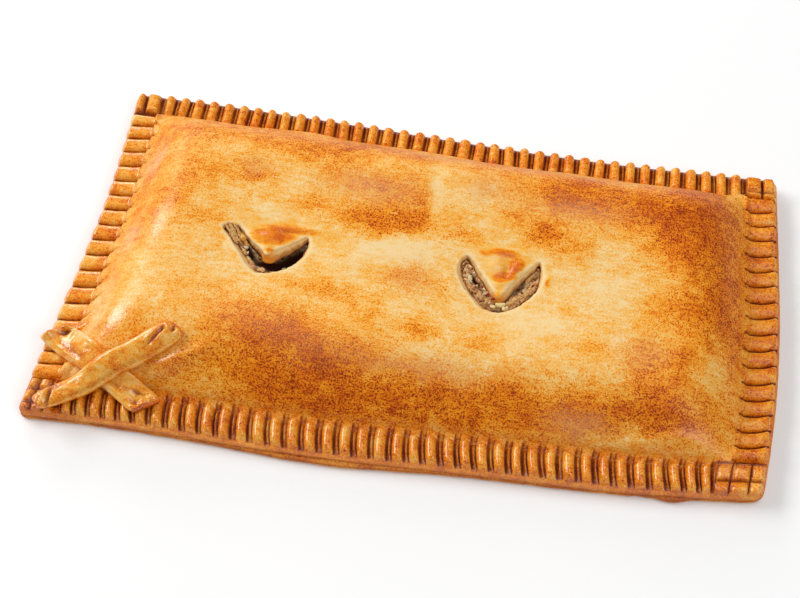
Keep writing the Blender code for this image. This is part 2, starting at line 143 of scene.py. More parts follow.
def roundCorner(x, y):
    # pulls the rectangle's corner in to a quarter circle
    radius = layout["cornerRadius"]
    a = (np.abs(x) - (halfLength - radius)) / radius
    b = (np.abs(y) - (halfDepth - radius)) / radius
    inCorner = (a > 0.0) & (b > 0.0)
    a, b = np.where(inCorner, a, 1.0), np.where(inCorner, b, 1.0)
    pull = np.maximum(a, b) / np.hypot(a, b)
    roundX = np.copysign(halfLength - radius * (1.0 - a * pull), x)
    roundY = np.copysign(halfDepth - radius * (1.0 - b * pull), y)
    return np.where(inCorner, roundX, x), np.where(inCorner, roundY, y)


def warp(x, y):
    # blends the four bowed sides over the rectangle
    x, y = roundCorner(np.asarray(x, float), np.asarray(y, float))
    s, t = x / layout["length"] + 0.5, y / layout["depth"] + 0.5
    corner = [layout[name] for name in ("frontLeft", "frontRight", "backRight", "backLeft")]
    out = []
    for k in (0, 1):
        low = lerp(corner[0][k], corner[1][k], s)
        high = lerp(corner[3][k], corner[2][k], s)
        left = lerp(corner[0][k], corner[3][k], t)
        right = lerp(corner[1][k], corner[2][k], t)
        front = low - (sideWave("front", s) if k else 0.0)
        back = high + (sideWave("back", s) if k else 0.0)
        left = left - (0.0 if k else sideWave("left", t))
        right = right + (0.0 if k else sideWave("right", t))
        out.append(lerp(front, back, t) + lerp(left, right, s) - lerp(low, high, t))
    return out


def insetFrom(side, place):
    # how far in from a side; place is an x for the ends, a y for the front and back
    half = halfLength if side in endSides else halfDepth
    return (half + (place if side in ("left", "front") else -place)) / layout["sideScale"][side]


def insetsOf(x, y):
    return [insetFrom(side, x) for side in endSides] + [insetFrom(side, y) for side in longSides]


def nearestInset(x, y):
    return np.minimum.reduce(insetsOf(x, y))


def lineAt(side, inset):
    # the x or y that lies so far in from a side
    half = halfLength if side in endSides else halfDepth
    place = inset * layout["sideScale"][side] - half
    return place if side in ("left", "front") else -place


def ringRound(xs, ys, farX, farY):
    # points round a rectangle from its front left corner, stepped as xs and ys are
    nearX, nearY = xs[0], ys[0]
    x = np.concatenate([xs, np.full(len(ys), farX), nearX + farX - xs, np.full(len(ys), nearX)])
    y = np.concatenate([np.full(len(xs), nearY), ys, np.full(len(xs), farY), nearY + farY - ys])
    return np.stack([x, y], -1)


def ringAt(inset, step):
    x0, x1, y0, y1 = (lineAt(side, inset) for side in (*endSides, *longSides))
    return ringRound(np.arange(x0, x1, step), np.arange(y0, y1, step), x1, y1)


# The solid lid's box says where the warped rectangle's middle lies in the frame.
lidLow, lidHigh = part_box("lid_crust")
edgeX, edgeY = warp(*ringAt(0.0, 0.5 * mm).T)
shiftX = (edgeX.min() + edgeX.max() - lidLow[0] - lidHigh[0]) / 2
shiftY = (edgeY.min() + edgeY.max() - lidLow[1] - lidHigh[1]) / 2


def plan(x, y):
    wx, wy = warp(x, y)
    return wx - shiftX, wy - shiftY


def lifted(flat, height):
    # points of the layout as they lie in the frame
    return np.stack([*plan(flat[..., 0], flat[..., 1]), height], -1)


# The dome: how it rises, its swells and its small folds, as patches in mm.
dome = {
    "shoulder": 46 * mm,
    "shoulderPower": 2.5,
    "swells": {
        "frontHump": (-55, -52, 75, 24, 0, 3.6),
        "frontRightHump": (95, -50, 50, 26, 0, 2.2),
        "backHump": (5, 48, 60, 26, 0, 1.8),
        "backRightHump": (115, 40, 45, 26, 0, 1.6),
        "leftSwell": (-135, 20, 30, 45, 0, 1.2),
        "ventDipLeft": (-82, -4, 34, 24, 0, -2.2),
        "ventDipRight": (40, -10, 36, 24, 0, -2.6),
    },
    "folds": {
        "backValley": (-3, 60, 5, 26, 0, -0.5),
        "backBlister": (-62, 87, 30, 4.0, 2, 1.5),
        "backBlisterRight": (-12, 85, 24, 3.0, -3, 1.1),
        "backBlisterLeft": (-100, 83, 14, 3.0, 6, 0.7),
        "frontRightFold": (128, -79.5, 15, 2.2, 9, 1.5),
        "frontRightBlister": (152, -78, 10, 3.0, -4, 0.9),
        "frontRightDent": (131, -72, 20, 4.0, 6, -0.7),
        "besideStrips": (-119, -74, 17, 3.2, 24, 2.9),
        "besideStripsValley": (-123, -67, 15, 3.0, 24, -0.8),
        "besideStripsEnd": (-104, -66, 6, 3.0, 40, 0.8),
        "behindStrips": (-160, -52, 9, 7.0, 40, 0.8),
        "leftFlowOne": (-166, 6, 14, 3.5, 24, 0.7),
        "leftFlowTwo": (-165, -12, 12, 3.0, 20, -0.4),
        "leftFlowThree": (-164, 44, 10, 3.5, 30, 0.6),
        "rightCreaseOne": (158, -20, 2.4, 16, -8, -0.5),
        "rightCreaseTwo": (163, 14, 2.2, 14, -6, -0.5),
        "rightCreaseThree": (152, -38, 14, 3.0, -24, 0.5),
    },
    "lumps": ((30 * mm, 0.45 * mm, 3), (13 * mm, 0.20 * mm, 4), (5.5 * mm, 0.07 * mm, 5)),
    "lumpFade": 14 * mm,
    "creviceWidth": 1.4 * mm,
}


def rise(inset):
    t = np.clip((inset - rimWidth) / dome["shoulder"], 0.0, 1.0)
    return 1.0 - (1.0 - t) ** dome["shoulderPower"]


def domeHeight(x, y):
    level = 1.0
    for inset in insetsOf(x, y):
        level = level * rise(inset)
    lumps = lumpsOf(dome["lumps"], x, y) * easeIn(nearestInset(x, y), rimWidth, dome["lumpFade"])
    folds = sumOfPatches(dome["folds"], x, y) * mm
    swelling = sumOfPatches(dome["swells"], x, y) * mm
    top = heights["domeTop"] - heights["foot"] + swelling
    return heights["foot"] + level * top + lumps + folds


# The crimped rim. Front and back are pressed into round logs with a ridge in each groove,
# the ends into broad shells with thin creases between them.
rimStyle = {
    "front": {
        "beads": 39, "crowdStart": (0.19, 7), "crowdEnd": (0.20, 4), "from": -171.6 * mm, "to": 166.9 * mm,
        "width": 0.64, "offset": -0.08, "ridge": 0.46, "slant": 4.2 * mm, "curve": 1.6, "sag": 0.0,
        "outerEnd": 2.0 * mm, "roundness": 3.4 * mm, "innerEnd": 18.2 * mm, "flow": 0.0, "depth": 1.0,
        "crevice": 1.5 * mm, "overhangCrest": 0.0, "overhangGroove": -0.1 * mm, "wander": 0.5 * mm,
        "seed": 11,
    },
    "back": {
        "beads": 39, "crowdStart": (0.06, 3), "crowdEnd": (0.06, 3), "from": -175.4 * mm, "to": 173.4 * mm,
        "width": 0.66, "offset": -0.06, "ridge": 0.36, "slant": 0.6 * mm, "curve": 1.0, "sag": 0.0,
        "outerEnd": -0.4 * mm, "roundness": 2.6 * mm, "innerEnd": 18.6 * mm, "flow": 0.0, "depth": 1.0,
        "crevice": 1.0 * mm, "overhangCrest": 0.5 * mm, "overhangGroove": -1.4 * mm, "wander": 2.2 * mm,
        "seed": 12,
    },
    "left": {
        "beads": 18, "crowdStart": (0.20, 4), "crowdEnd": (0.10, 3), "from": -84.0 * mm, "to": 87.0 * mm,
        "width": 0.20, "offset": -0.10, "ridge": 0.40, "slant": -1.2 * mm, "curve": 1.4, "sag": 0.6 * mm,
        "outerEnd": -0.3 * mm, "roundness": 3.0 * mm, "innerEnd": 17.0 * mm, "flow": 10.0 * mm, "depth": 0.66,
        "crevice": 0.0, "overhangCrest": 0.5 * mm, "overhangGroove": -0.8 * mm, "wander": 1.0 * mm,
        "seed": 13,
    },
    "right": {
        "beads": 17, "crowdStart": (0.06, 3), "crowdEnd": (0.06, 3), "from": -84.0 * mm, "to": 87.0 * mm,
        "width": 0.22, "offset": 0.20, "ridge": 0.34, "slant": 3.2 * mm, "curve": 1.2, "sag": 1.3 * mm,
        "outerEnd": 1.5 * mm, "roundness": 2.0 * mm, "innerEnd": 16.5 * mm, "flow": 5.0 * mm, "depth": 0.74,
        "crevice": 0.0, "overhangCrest": 0.1 * mm, "overhangGroove": -0.1 * mm, "wander": 0.8 * mm,
        "seed": 14,
    },
}
rimMesh = {
    # insets of the rows in mm
    "rows": (0.9, 1.6, 2.3, 3.1, 4.2, 5.6, 7.2, 8.3, 8.8, 9.3, 10.4, 12.0, 13.6, 15.0, 16.0, 16.8, 17.5,
             18.1, 18.7, 19.3, 20.0),
    "footRows": (20.6, 21.3, 22.2, 23.4, 25.0, 27.0),
    # the outer face's rows: share of the overhang, or mm inwards where negative; share of the edge's height
    "outerRows": ((-0.8, 0.0), (0.1, 0.03), (1.0, 0.30), (0.9, 0.62), (0.45, 0.88)),
    "logColumns": (-1.0, -0.86, -0.74, -0.66, -0.58, -0.42, -0.16, 0.10, 0.34, 0.48, 0.57, 0.68, 0.80, 0.92),
    "shellColumns": (-1.0, -0.95, -0.89, -0.80, -0.66, -0.42, -0.14, 0.14, 0.42, 0.66, 0.80, 0.89, 0.95),
    "blockColumns": 13,
    "footTo": 27 * mm,
}
beadShape = {  # across one bead, from -1 at one end to 1 at the other
    "pitchVaries": 0.035,
    "widthVaries": 0.03,
    "furthest": 0.97,  # no log reaches past this
    "logPower": 0.45,  # the smaller, the fuller its shoulders
    "logFoot": (0.86, 0.14, 0.6),  # painted shade darkens its side: from where, over how much, how dark
    # painted shade in the grooves: a level all over them, and lines along their sides
    "grooveDark": 0.36,
    "grooveLines": ((0.10, 0.20, 1.0), (1.0, 0.12, 0.6)),  # place and width in shares of it, darkness of the painted shade
    "grooveRidge": (0.60, 0.22),
    "shellCrown": 0.30,
    "shellRidge": (0.80, 0.10, 0.4),
    "shellCrease": 1.6,  # the larger, the narrower its line of painted shade
    "shellRound": 0.85,
}
pressing = {  # the same for all four sides
    "fadeIn": 12 * mm,  # the beads begin to slant over this length at either end of a side
    "closing": 2 * mm,  # and sink to the corner blocks' plain height over this one
    "creviceFade": 14 * mm,
    "lipWidth": 2.5 * mm,
    "slope": 3.2 * mm,  # of the rise to the dome's foot
    "beadLength": 18 * mm,
    "leanVaries": 0.5 * mm,
    "wanderFrom": (12 * mm, 6 * mm),
    "wanderTo": (22 * mm, 5 * mm),
    "wanderSize": 22 * mm,
    "outerVaries": 0.4 * mm,
    "outerRound": 1.7 * mm,
    "innerVaries": 0.35 * mm,
    "innerRound": 1.8 * mm,
    "innerDrop": 1.6 * mm,
    "heightVaries": 0.05,
    "shallowShare": 0.8,
    "edgeInset": 0.35 * mm,
    "edgeRipple": (7 * mm, 0.12 * mm),
    "overhangRipple": (9 * mm, 0.18 * mm),
    "pits": ((2.6 * mm, 0.10 * mm, 21), (1.3 * mm, 0.05 * mm, 22)),
    # the grooves' painted shade, carried down the rim's outer face
    "outerDark": 0.8,
    "darkEnd": (1.5 * mm, 3 * mm),  # the grooves' painted shade fades out: how far outside the rim's inner line it starts, and over how much
    # where the shells' creases of painted shade fade out on the dome's foot
    "creaseEnd": (3 * mm, 5 * mm),
}


def endsOf(side):
    return endSides if side in longSides else longSides


def beadBounds(side):
    # where the beads of one side part from each other; they crowd a little towards its ends
    style = rimStyle[side]
    k = np.arange(style["beads"])
    startCrowd, startReach = style["crowdStart"]
    endCrowd, endReach = style["crowdEnd"]
    pitch = 1.0 - startCrowd * (1.0 - smooth(k / startReach))
    pitch = pitch - endCrowd * (1.0 - smooth((len(k) - 1 - k) / endReach))
    pitch = pitch + np.random.default_rng(style["seed"]).normal(0.0, beadShape["pitchVaries"], len(k))
    ends = np.concatenate([[0.0], np.cumsum(pitch)]) / pitch.sum()
    return lerp(style["from"], style["to"], ends)


def sectionOf(style, q, jitter):
    # across one bead, q from -1 to 1: its height, from 0 to 1; how much painted shade it takes on the log's
    # sides and in the groove and crease; its roundness
    offset = style["offset"]
    if style["flow"]:
        # a broad shell: full nearly to the crease, with a small ridge along its upper side
        near = (1.0 - np.abs(q)) / style["width"]
        crown = 1.0 - beadShape["shellCrown"] * (q - offset) ** 2
        place, reach, height = beadShape["shellRidge"]
        ridge = style["ridge"] * height * bell((q - place) / reach)
        section = (1.0 - bell(near)) * crown + ridge * np.clip(near, 0.0, 1.0)
        return section, bell(beadShape["shellCrease"] * near), np.abs(q) * beadShape["shellRound"]
    width = style["width"] + beadShape["widthVaries"] * jitter
    u = (q - offset) / np.minimum(width, beadShape["furthest"] - np.where(q > offset, offset, -offset))
    hump = np.clip(1.0 - u * u, 0.0, 1.0) ** beadShape["logPower"]
    share = np.mod(q - offset - width, 2.0) / (2.0 - 2.0 * width)
    place, reach = beadShape["grooveRidge"]
    ridge = style["ridge"] * bell((share - place) / reach)
    line = sum(dark * bell((share - place) / reach) for place, reach, dark in beadShape["grooveLines"])
    footFrom, footOver, footDark = beadShape["logFoot"]
    onLog = np.abs(u) < 1.0
    logDark = footDark * easeIn(np.abs(u), footFrom, footOver)
    grooveShade = np.where(onLog, logDark, np.clip(beadShape["grooveDark"] + line, 0.0, 1.0))
    return np.where(onLog, hump, ridge), grooveShade, u


def creviceAt(side, along):
    low, high = (lineAt(name, rimWidth) for name in endsOf(side))
    nearEnd = np.minimum(along - low, high - along)
    return rimStyle[side]["crevice"] * smooth(nearEnd / pressing["creviceFade"])


def footHeight(x, y):
    # the dome's foot, with the crevice where the logs of the front and back end
    total = domeHeight(x, y)
    for side in longSides:
        away = (insetFrom(side, y) - rimWidth) / dome["creviceWidth"]
        total = total - creviceAt(side, x) * bell(away)
    return total


def grooveFloor(inset, foot):
    # the dough between the beads, from the lip at the outer edge to the dome's foot
    start = lerp(heights["lip"], heights["groove"], smooth(inset / pressing["lipWidth"]))
    return lerp(start, foot, easeIn(inset, rimWidth - pressing["slope"], pressing["slope"]))


def sideSheet(side):
    # one side of the rim with the dome's foot behind it: its rows, and how much painted shade each point
    # takes in the grooves and creases
    style = rimStyle[side]
    bounds = beadBounds(side)
    low, high = (lineAt(name, rimWidth) for name in endsOf(side))
    corners = [(name, side) if side in longSides else (side, name) for name in endsOf(side)]
    columns = rimMesh["shellColumns" if style["flow"] else "logColumns"]
    q = np.append(np.tile(columns, style["beads"]), 1.0)
    bead = np.append(np.repeat(np.arange(style["beads"]), len(columns)), style["beads"] - 1)
    along0 = lerp(bounds[bead], bounds[bead + 1], (q + 1.0) / 2.0)
    # beyond the last beads the pressed corner blocks reach in along the side, at both its ends or neither
    before = np.linspace(low, bounds[0], rimMesh["blockColumns"])[:-1] if bounds[0] - low > mm else []
    after = np.linspace(bounds[-1], high, rimMesh["blockColumns"])[1:] if high - bounds[-1] > mm else []
    added = (len(before), len(after))
    inBlock = np.pad(np.zeros(len(q)), added, constant_values=(-1, 1))
    along0 = np.concatenate([before, along0, after])
    q, bead = np.pad(q, added, "edge"), np.pad(bead, added, "edge")
    perBead = np.random.default_rng(style["seed"] + 50).normal(0.0, 1.0, (5, style["beads"]))
    widths, _, outerEnds, innerEnds, tallness = perBead[:, bead]
    leaning = np.interp(along0, (bounds[1:] + bounds[:-1]) / 2, perBead[1])
    fromEnd = np.minimum(along0 - along0[0], along0[-1] - along0)
    window = smooth(fromEnd / pressing["fadeIn"])
    closeEnd = smooth(fromEnd / pressing["closing"])
    section, grooveShade, u = sectionOf(style, q, widths)
    section = np.where(inBlock == 0, section if len(before) else section * closeEnd, 0.0)
    grooveShade = np.where(inBlock == 0, grooveShade, 0.0)
    roundEnd = 1.0 - np.sqrt(np.clip(1.0 - u * u, 0.0, 1.0))
    size, strength = pressing["overhangRipple"]
    overhang = lerp(style["overhangGroove"], style["overhangCrest"], section)
    overhang = (overhang + strength * unevenness(along0, 0.0, size, style["seed"])) * closeEnd

    def shifted(inset):
        # slanted and slightly bent beads, each a little differently
        share = np.clip(1.0 - inset / pressing["beadLength"], 0.0, 1.0)
        lean = style["slant"] + pressing["leanVaries"] * leaning
        sag = style["sag"] * np.sin(np.pi * share)
        return along0 + window * (lean * (share ** style["curve"] - 0.5) - sag)

    def wandering(inset):
        # the dome's foot runs in and out over the beads' inner ends
        reach = easeIn(inset, *pressing["wanderFrom"]) * (1.0 - easeIn(inset, *pressing["wanderTo"]))
        wave = unevenness(along0, 7 * mm, pressing["wanderSize"], style["seed"] + 7)
        return style["wander"] * reach * window * wave

    def at(along, inset):
        across = np.broadcast_to(lineAt(side, inset), np.shape(along))
        return (along, across) if side in longSides else (across, along)

    def withBlocks(values, x, y, part):
        # the corner blocks' own height (part 0) or painted shade (part 1) beyond the last beads
        for way, corner in zip((-1, 1), corners):
            values = np.where(inBlock == way, blockCrest(corner, x, y)[part], values)
        return values

    def crestOf(inset):
        start = style["outerEnd"] + pressing["outerVaries"] * np.abs(outerEnds)
        start = start + pressing["outerRound"] * roundEnd
        grown = np.clip((inset - start) / style["roundness"], 0.0, 1.0)
        outer = np.sqrt(np.clip(1.0 - (1.0 - grown) ** 2, 0.0, 1.0))
        if style["flow"]:
            inner = 1.0 - easeIn(inset, style["innerEnd"], style["flow"])
        else:
            stop = style["innerEnd"] + pressing["innerVaries"] * innerEnds - pressing["innerRound"] * roundEnd
            inner = np.sqrt(np.clip((stop - inset) / pressing["innerDrop"], 0.0, 1.0))
        full = heights["crest"] - heights["groove"]
        tall = full * (1.0 + pressing["heightVaries"] * tallness) * style["depth"]
        shallow = full * (1.0 - style["depth"]) * pressing["shallowShare"]  # what the creases keep
        crest = outer * inner * (tall * section + shallow * closeEnd * (inBlock == 0))
        return withBlocks(crest, *at(along0, np.maximum(inset, 0.0)), 0)

    points, grooveShades = [], []
    edgeInset = pressing["edgeInset"]
    foot = heights["foot"] - creviceAt(side, along0)
    size, strength = pressing["edgeRipple"]
    edgeTop = grooveFloor(edgeInset, foot) + crestOf(edgeInset)
    edgeTop = edgeTop + strength * unevenness(along0, 1.0, size, style["seed"] + 1) * closeEnd
    for outwards, up in rimMesh["outerRows"]:
        x, y = at(shifted(0.0), -outwards * (overhang if outwards > 0.0 else mm))
        points.append((x, y, lerp(heights["seam"], edgeTop, up)))
        grooveShades.append(grooveShade * pressing["outerDark"])
    ahead, over = pressing["darkEnd"]
    for inset in (edgeInset, *np.array(rimMesh["rows"]) * mm):
        x, y = at(shifted(inset), inset + wandering(inset))
        z = grooveFloor(inset, foot) + crestOf(inset) + lumpsOf(pressing["pits"], x, y) * closeEnd
        points.append((x, y, z))
        fade = 1.0 if style["flow"] else 1.0 - easeIn(inset, rimWidth - ahead, over)
        grooveShades.append(withBlocks(grooveShade * fade, x, y, 1))
    ahead, over = pressing["creaseEnd"]
    for inset in np.array(rimMesh["footRows"]) * mm:
        ends = [lineAt(name, inset) for name in endsOf(side)]
        along = lerp(ends[0], ends[1], (shifted(inset) - low) / (high - low))
        z = footHeight(*at(along, inset)) + np.where(inBlock == 0, crestOf(inset), 0.0)
        points.append((*at(along, inset + wandering(inset)), z))
        fade = 1.0 - easeIn(inset, rimWidth - ahead, over) if style["flow"] else 0.0
        grooveShades.append(grooveShade * fade)
    return np.array([np.stack(row, -1) for row in points]), np.array(grooveShades)


# The pressed corner blocks: the lines across them, in mm of the layout, and how wide a line is.
# Beside a line runs a low ledge, as the edge of the cutter leaves it.
cornerStyle = {
    ("left", "front"): {"xLines": (-186.2, -179.5), "yLines": (-90.6, -97.2),
                        "line": 0.8, "ledge": 0.20, "top": 0.85},
    ("right", "front"): {"xLines": (167.0, 174.65, 184.4), "yLines": (-85.2, -94.64),
                         "line": 0.5, "ledge": 0.34, "top": 0.84},
    ("right", "back"): {"xLines": (174.2, 183.9), "yLines": (91.0,),
                        "line": 0.8, "ledge": 0.0, "top": 0.9},
    ("left", "back"): {"xLines": (-186.2, -176.6), "yLines": (88.2,),
                       "line": 1.25, "ledge": 0.0, "top": 1.0},
}
blockShape = {
    "ledgeFrom": (0.2 * mm, 0.5 * mm),
    "ledgeTo": (1.7 * mm, 0.7 * mm),
    "rounded": (0.6 * mm, 2.6 * mm),
    "border": 1.2 * mm,
    # painted shade in the cutter's lines: how far in from the edge it grows, and how strong it is
    "darkFrom": 1.5 * mm,
    "dark": 0.9,
    "pits": ((3 * mm, 0.15 * mm, 31),),
    "pitsFrom": 2 * mm,
}


def blockCrest(corner, x, y):
    # how far a corner block stands above the groove floor, and how much painted shade one of its lines takes
    style = cornerStyle[corner]
    cell, dark = np.ones(np.shape(x)), np.zeros(np.shape(x))
    away = [x - place * mm for place in style["xLines"]] + [place * mm - y for place in style["yLines"]]
    for distance in away:
        line = bell(distance / (style["line"] * mm))
        ledge = easeIn(distance, *blockShape["ledgeFrom"]) - easeIn(distance, *blockShape["ledgeTo"])
        cell = np.minimum(cell, 1.0 - np.maximum(line, ledge * style["ledge"]))
        dark = np.maximum(dark, line)
    sideInset, endInset = insetFrom(corner[0], x), insetFrom(corner[1], y)
    nearest = np.maximum(np.minimum(sideInset, endInset), pressing["edgeInset"])
    border = smooth((rimWidth - endInset) / blockShape["border"])
    if corner != ("right", "front"):  # that block runs on past its square, along the front
        border = border * smooth((rimWidth - sideInset) / blockShape["border"])
    tall = (heights["crest"] - heights["groove"]) * style["top"]
    crest = tall * cell * easeIn(nearest, *blockShape["rounded"]) * border
    return crest, dark * smooth(nearest / blockShape["darkFrom"])


def cornerSheet(side, end):
    # the square of rim between two sides
    insets = [max(-outwards, 0.0) * mm for outwards, _ in rimMesh["outerRows"]]
    insets = np.array(insets + [pressing["edgeInset"], *np.array(rimMesh["rows"]) * mm])
    ups = np.array([up for _, up in rimMesh["outerRows"]] + [1.0] * (len(rimMesh["rows"]) + 1))
    sideInset, endInset = np.meshgrid(insets, insets, indexing="ij")
    sideInset[:, 0] = np.maximum(sideInset[:, 0], insets[0])  # the lowest row turns in a sharp corner
    endInset[0, :] = np.maximum(endInset[0, :], insets[0])
    x, y = lineAt(side, sideInset), lineAt(end, endInset)
    up = np.minimum(*np.meshgrid(ups, ups, indexing="ij"))
    nearest = np.maximum(np.minimum(sideInset, endInset), pressing["edgeInset"])
    crest, dark = blockCrest((side, end), x, y)
    free = smooth((rimWidth - np.maximum(sideInset, endInset)) / blockShape["border"])
    free = free * smooth(nearest / blockShape["pitsFrom"])
    z = grooveFloor(nearest, heights["foot"]) + crest + lumpsOf(blockShape["pits"], x, y) * free
    z = np.where(up < 1.0, lerp(heights["seam"], z, up), z)
    return np.stack([x, y, z], -1), dark * blockShape["dark"]


def pointInside(x, y, loop):
    # even-odd test of many points against one closed loop
    inside = np.zeros(np.shape(x), bool)
    for (ax, ay), (bx, by) in zip(loop, np.roll(loop, -1, axis=0)):
        if ay == by:
            continue
        crosses = (ay > y) != (by > y)
        inside ^= crosses & (x < (bx - ax) * (y - ay) / (by - ay) + ax)
    return inside


def distanceTo(x, y, loop):
    # the distance of many points from a closed loop, in metres and at most 1
    nearest = np.full(np.shape(x), 1.0)
    for (ax, ay), (bx, by) in zip(loop, np.roll(loop, -1, axis=0)):
        length = max((bx - ax) ** 2 + (by - ay) ** 2, 1e-12)
        t = np.clip(((x - ax) * (bx - ax) + (y - ay) * (by - ay)) / length, 0.0, 1.0)
        nearest = np.minimum(nearest, np.hypot(x - ax - t * (bx - ax), y - ay - t * (by - ay)))
    return nearest


def meshBetween(outer, holes, extra):
    # triangles over the area inside the outer loop and outside the holes, using the extra points too
    points = np.concatenate([outer, *holes, extra])
    edges, start = [], 0
    for loop in (outer, *holes):
        edges += [(start + i, start + (i + 1) % len(loop)) for i in range(len(loop))]
        start += len(loop)
    made = delaunay_2d_cdt([Vector(p) for p in points], edges, [], 0, 1e-9)
    flat = np.array([(v.x, v.y) for v in made[0]])
    faces = np.array(made[2])
    middle = flat[faces].mean(axis=1)
    keep = pointInside(middle[:, 0], middle[:, 1], outer)
    for loop in holes:
        keep &= ~pointInside(middle[:, 0], middle[:, 1], loop)
    return flat, faces[keep]


def gridFaces(rows, columns, closed=False):
    i, j = np.meshgrid(np.arange(rows - 1), np.arange(columns if closed else columns - 1), indexing="ij")
    i, j = i.ravel(), j.ravel()
    k = (j + 1) % columns
    return np.stack([i * columns + j, i * columns + k, (i + 1) * columns + k, (i + 1) * columns + j], -1)


def tubeFaces(rows, around):
    # a closed tube with a cap at each end
    caps = [list(range(around)), list(range((rows - 1) * around, rows * around))]
    return gridFaces(rows, around, closed=True).tolist() + caps


weldWithin = 4e-6  # metres


def makePiece(name, sheets, materials):
    # one mesh from sheets of (points, faces, data, material number), welded where they meet
    points = np.concatenate([sheet[0].reshape(-1, 3) for sheet in sheets])
    names = sorted({key for sheet in sheets for key in sheet[2]})
    faces, slots, start = [], [], 0
    data = {key: [] for key in names}
    for sheetPoints, sheetFaces, sheetData, slot in sheets:
        count = sheetPoints.reshape(-1, 3).shape[0]
        faces += [[corner + start for corner in face] for face in np.asarray(sheetFaces, object).tolist()]
        slots += [slot] * len(sheetFaces)
        start += count
        for key in names:
            data[key].append(np.broadcast_to(np.ravel(sheetData.get(key, 0.0)), count))
    mesh = bpy.data.meshes.new(name)
    mesh.from_pydata(points.tolist(), [], faces)
    mesh.polygons.foreach_set("material_index", slots)
    for key in names:
        layer = mesh.attributes.new(key, "FLOAT", "POINT")
        layer.data.foreach_set("value", np.concatenate(data[key]).astype(np.float32))
    bm = bmesh.new()
    bm.from_mesh(mesh)
    bmesh.ops.remove_doubles(bm, verts=bm.verts, dist=weldWithin)
    bmesh.ops.recalc_face_normals(bm, faces=bm.faces)
    openEdges = sum(edge.is_boundary for edge in bm.edges)
    bm.to_mesh(mesh)
    bm.free()
    mesh.shade_smooth()
    for material in materials:
        mesh.materials.append(material)
    piece = bpy.data.objects.new(name, mesh)
    bpy.context.scene.collection.objects.link(piece)
    triangles = sum(len(polygon.vertices) - 2 for polygon in mesh.polygons)
    print(f"{name}: {triangles} triangles, {openEdges} open edges")
    return piece


# The steam vents: a slot between a bowed V and the tongue that hangs inside it, whose tip curls up.
vents = {
    "left": {
        "outer": ((-113.8, 4.6), (-107.0, -2.6), (-97.4, -13.0), (-90.6, -19.0), (-85.6, -19.6),
                  (-76.8, -16.4), (-71.0, -11.6), (-66.4, -5.6), (-65.2, 0.6)),
        "tongue": ((-67.2, 6.0), (-73.8, 1.6), (-81.4, -4.2), (-86.2, -8.4), (-90.4, -5.2), (-99.2, 1.0),
                   (-106.0, 6.8)),
        "lean": (1.2 * mm, 3.6 * mm),
        "outerLean": (3.0 * mm, 2.6 * mm),
        "lift": 1.5 * mm,
        "seed": 41,
    },
    "right": {
        "outer": ((16.4, 3.4), (16.8, -2.2), (20.4, -8.8), (25.8, -15.2), (32.0, -21.0), (38.0, -23.2),
                  (44.8, -21.8), (51.4, -17.4), (57.2, -10.6), (60.8, -3.4), (61.0, 4.6)),
        "tongue": ((58.8, 10.2), (53.4, 4.8), (47.0, -3.4), (42.2, -11.6), (39.8, -14.0),
                   (36.8, -11.4), (29.4, -1.4), (20.6, 8.6)),
        "lean": (1.9 * mm, 3.2 * mm),
        "outerLean": (3.2 * mm, 1.7 * mm),
        "lift": 1.3 * mm,
        "seed": 42,
    },
}
ventEdge = {
    "step": 0.55 * mm,
    "rounding": 1.1 * mm,
    "rings": (0.25, 0.55, 0.95, 1.5, 2.2),
    "wobble": (2.2 * mm, 0.24 * mm),
    "apexBlend": (3 * mm, 12 * mm),  # how far before the V's point its slope changes, and over how much
    "tipBlend": (3 * mm, 5 * mm),
    "hingeBlend": 7 * mm,
    "coarsePitch": 1.8 * mm,
    "finePitch": 0.8 * mm,
    "fineReach": 13 * mm,
    "fineWithin": 9 * mm,
    "wallRows": 9,
    "ragged": (1.6 * mm, 0.30 * mm),
    "leanSoftening": 6,
    "tipReach": 4.2 * mm,
    "tongueGrown": 0.14,
    "pastTip": 1.05,
    "liftPower": 1.5,
    "roundest": 0.96,
    "blisters": {
        "left": (-88.0, 2.4, 8, 4.4, 8, 1.7),
        "leftRidge": (-79, 9.0, 12, 1.7, 6, 1.0),
        "leftDent": (-84, 6.2, 9, 1.5, 6, -0.6),
        "leftTip": (-86.5, -4.0, 3.4, 2.0, 0, 0.8),
        "leftSide": (-96, 3.0, 1.8, 5, 40, 0.5),
        "rightTop": (38, 12.4, 9, 2.2, 8, 1.2),
        "rightDent": (41, 9.2, 8, 1.5, 6, -0.6),
        "right": (36.5, 4.6, 5.0, 5.4, -20, 1.9),
        "rightSide": (47.5, 4.4, 3.0, 6.0, -14, 1.4),
        "rightTip": (42, -5.0, 5.0, 2.6, 12, 1.4),
        "rightMiddle": (42.4, 1.4, 1.5, 5.0, -14, -0.7),
        "besideRight": (65.5, 0.6, 2.2, 2.2, 0, 0.5),
        "leftLip": (-103, -9, 12, 2.4, -48, 0.5),
        "rightLip": (14, -8, 2.4, 10, 26, 0.4),
    },
}


def softened(loop, times):
    for _ in range(times):
        loop = (np.roll(loop, 1, axis=0) + 2.0 * loop + np.roll(loop, -1, axis=0)) / 4.0
    return loop


def throughPoints(points, step, share=24):
    # an evenly stepped closed loop running smoothly through the points, and how far along it each one is
    here = (np.array(points) * mm)[:, None, :]
    before, after, beyond = (np.roll(here, shift, axis=0) for shift in (1, -1, -2))
    t = np.linspace(0.0, 1.0, share, endpoint=False)[None, :, None]
    curve = (2.0 * here + (after - before) * t + (2.0 * before - 5.0 * here + 4.0 * after - beyond) * t ** 2
             + (3.0 * here - before - 3.0 * after + beyond) * t ** 3) / 2.0
    curve = np.concatenate([curve.reshape(-1, 2), curve[:1, 0]])
    length = np.concatenate([[0.0], np.cumsum(np.linalg.norm(np.diff(curve, axis=0), axis=1))])
    at = np.linspace(0.0, length[-1], int(length[-1] / step), endpoint=False)
    loop = np.stack([np.interp(at, length, curve[:, 0]), np.interp(at, length, curve[:, 1])], -1)
    return loop, at, length[:-1:share]


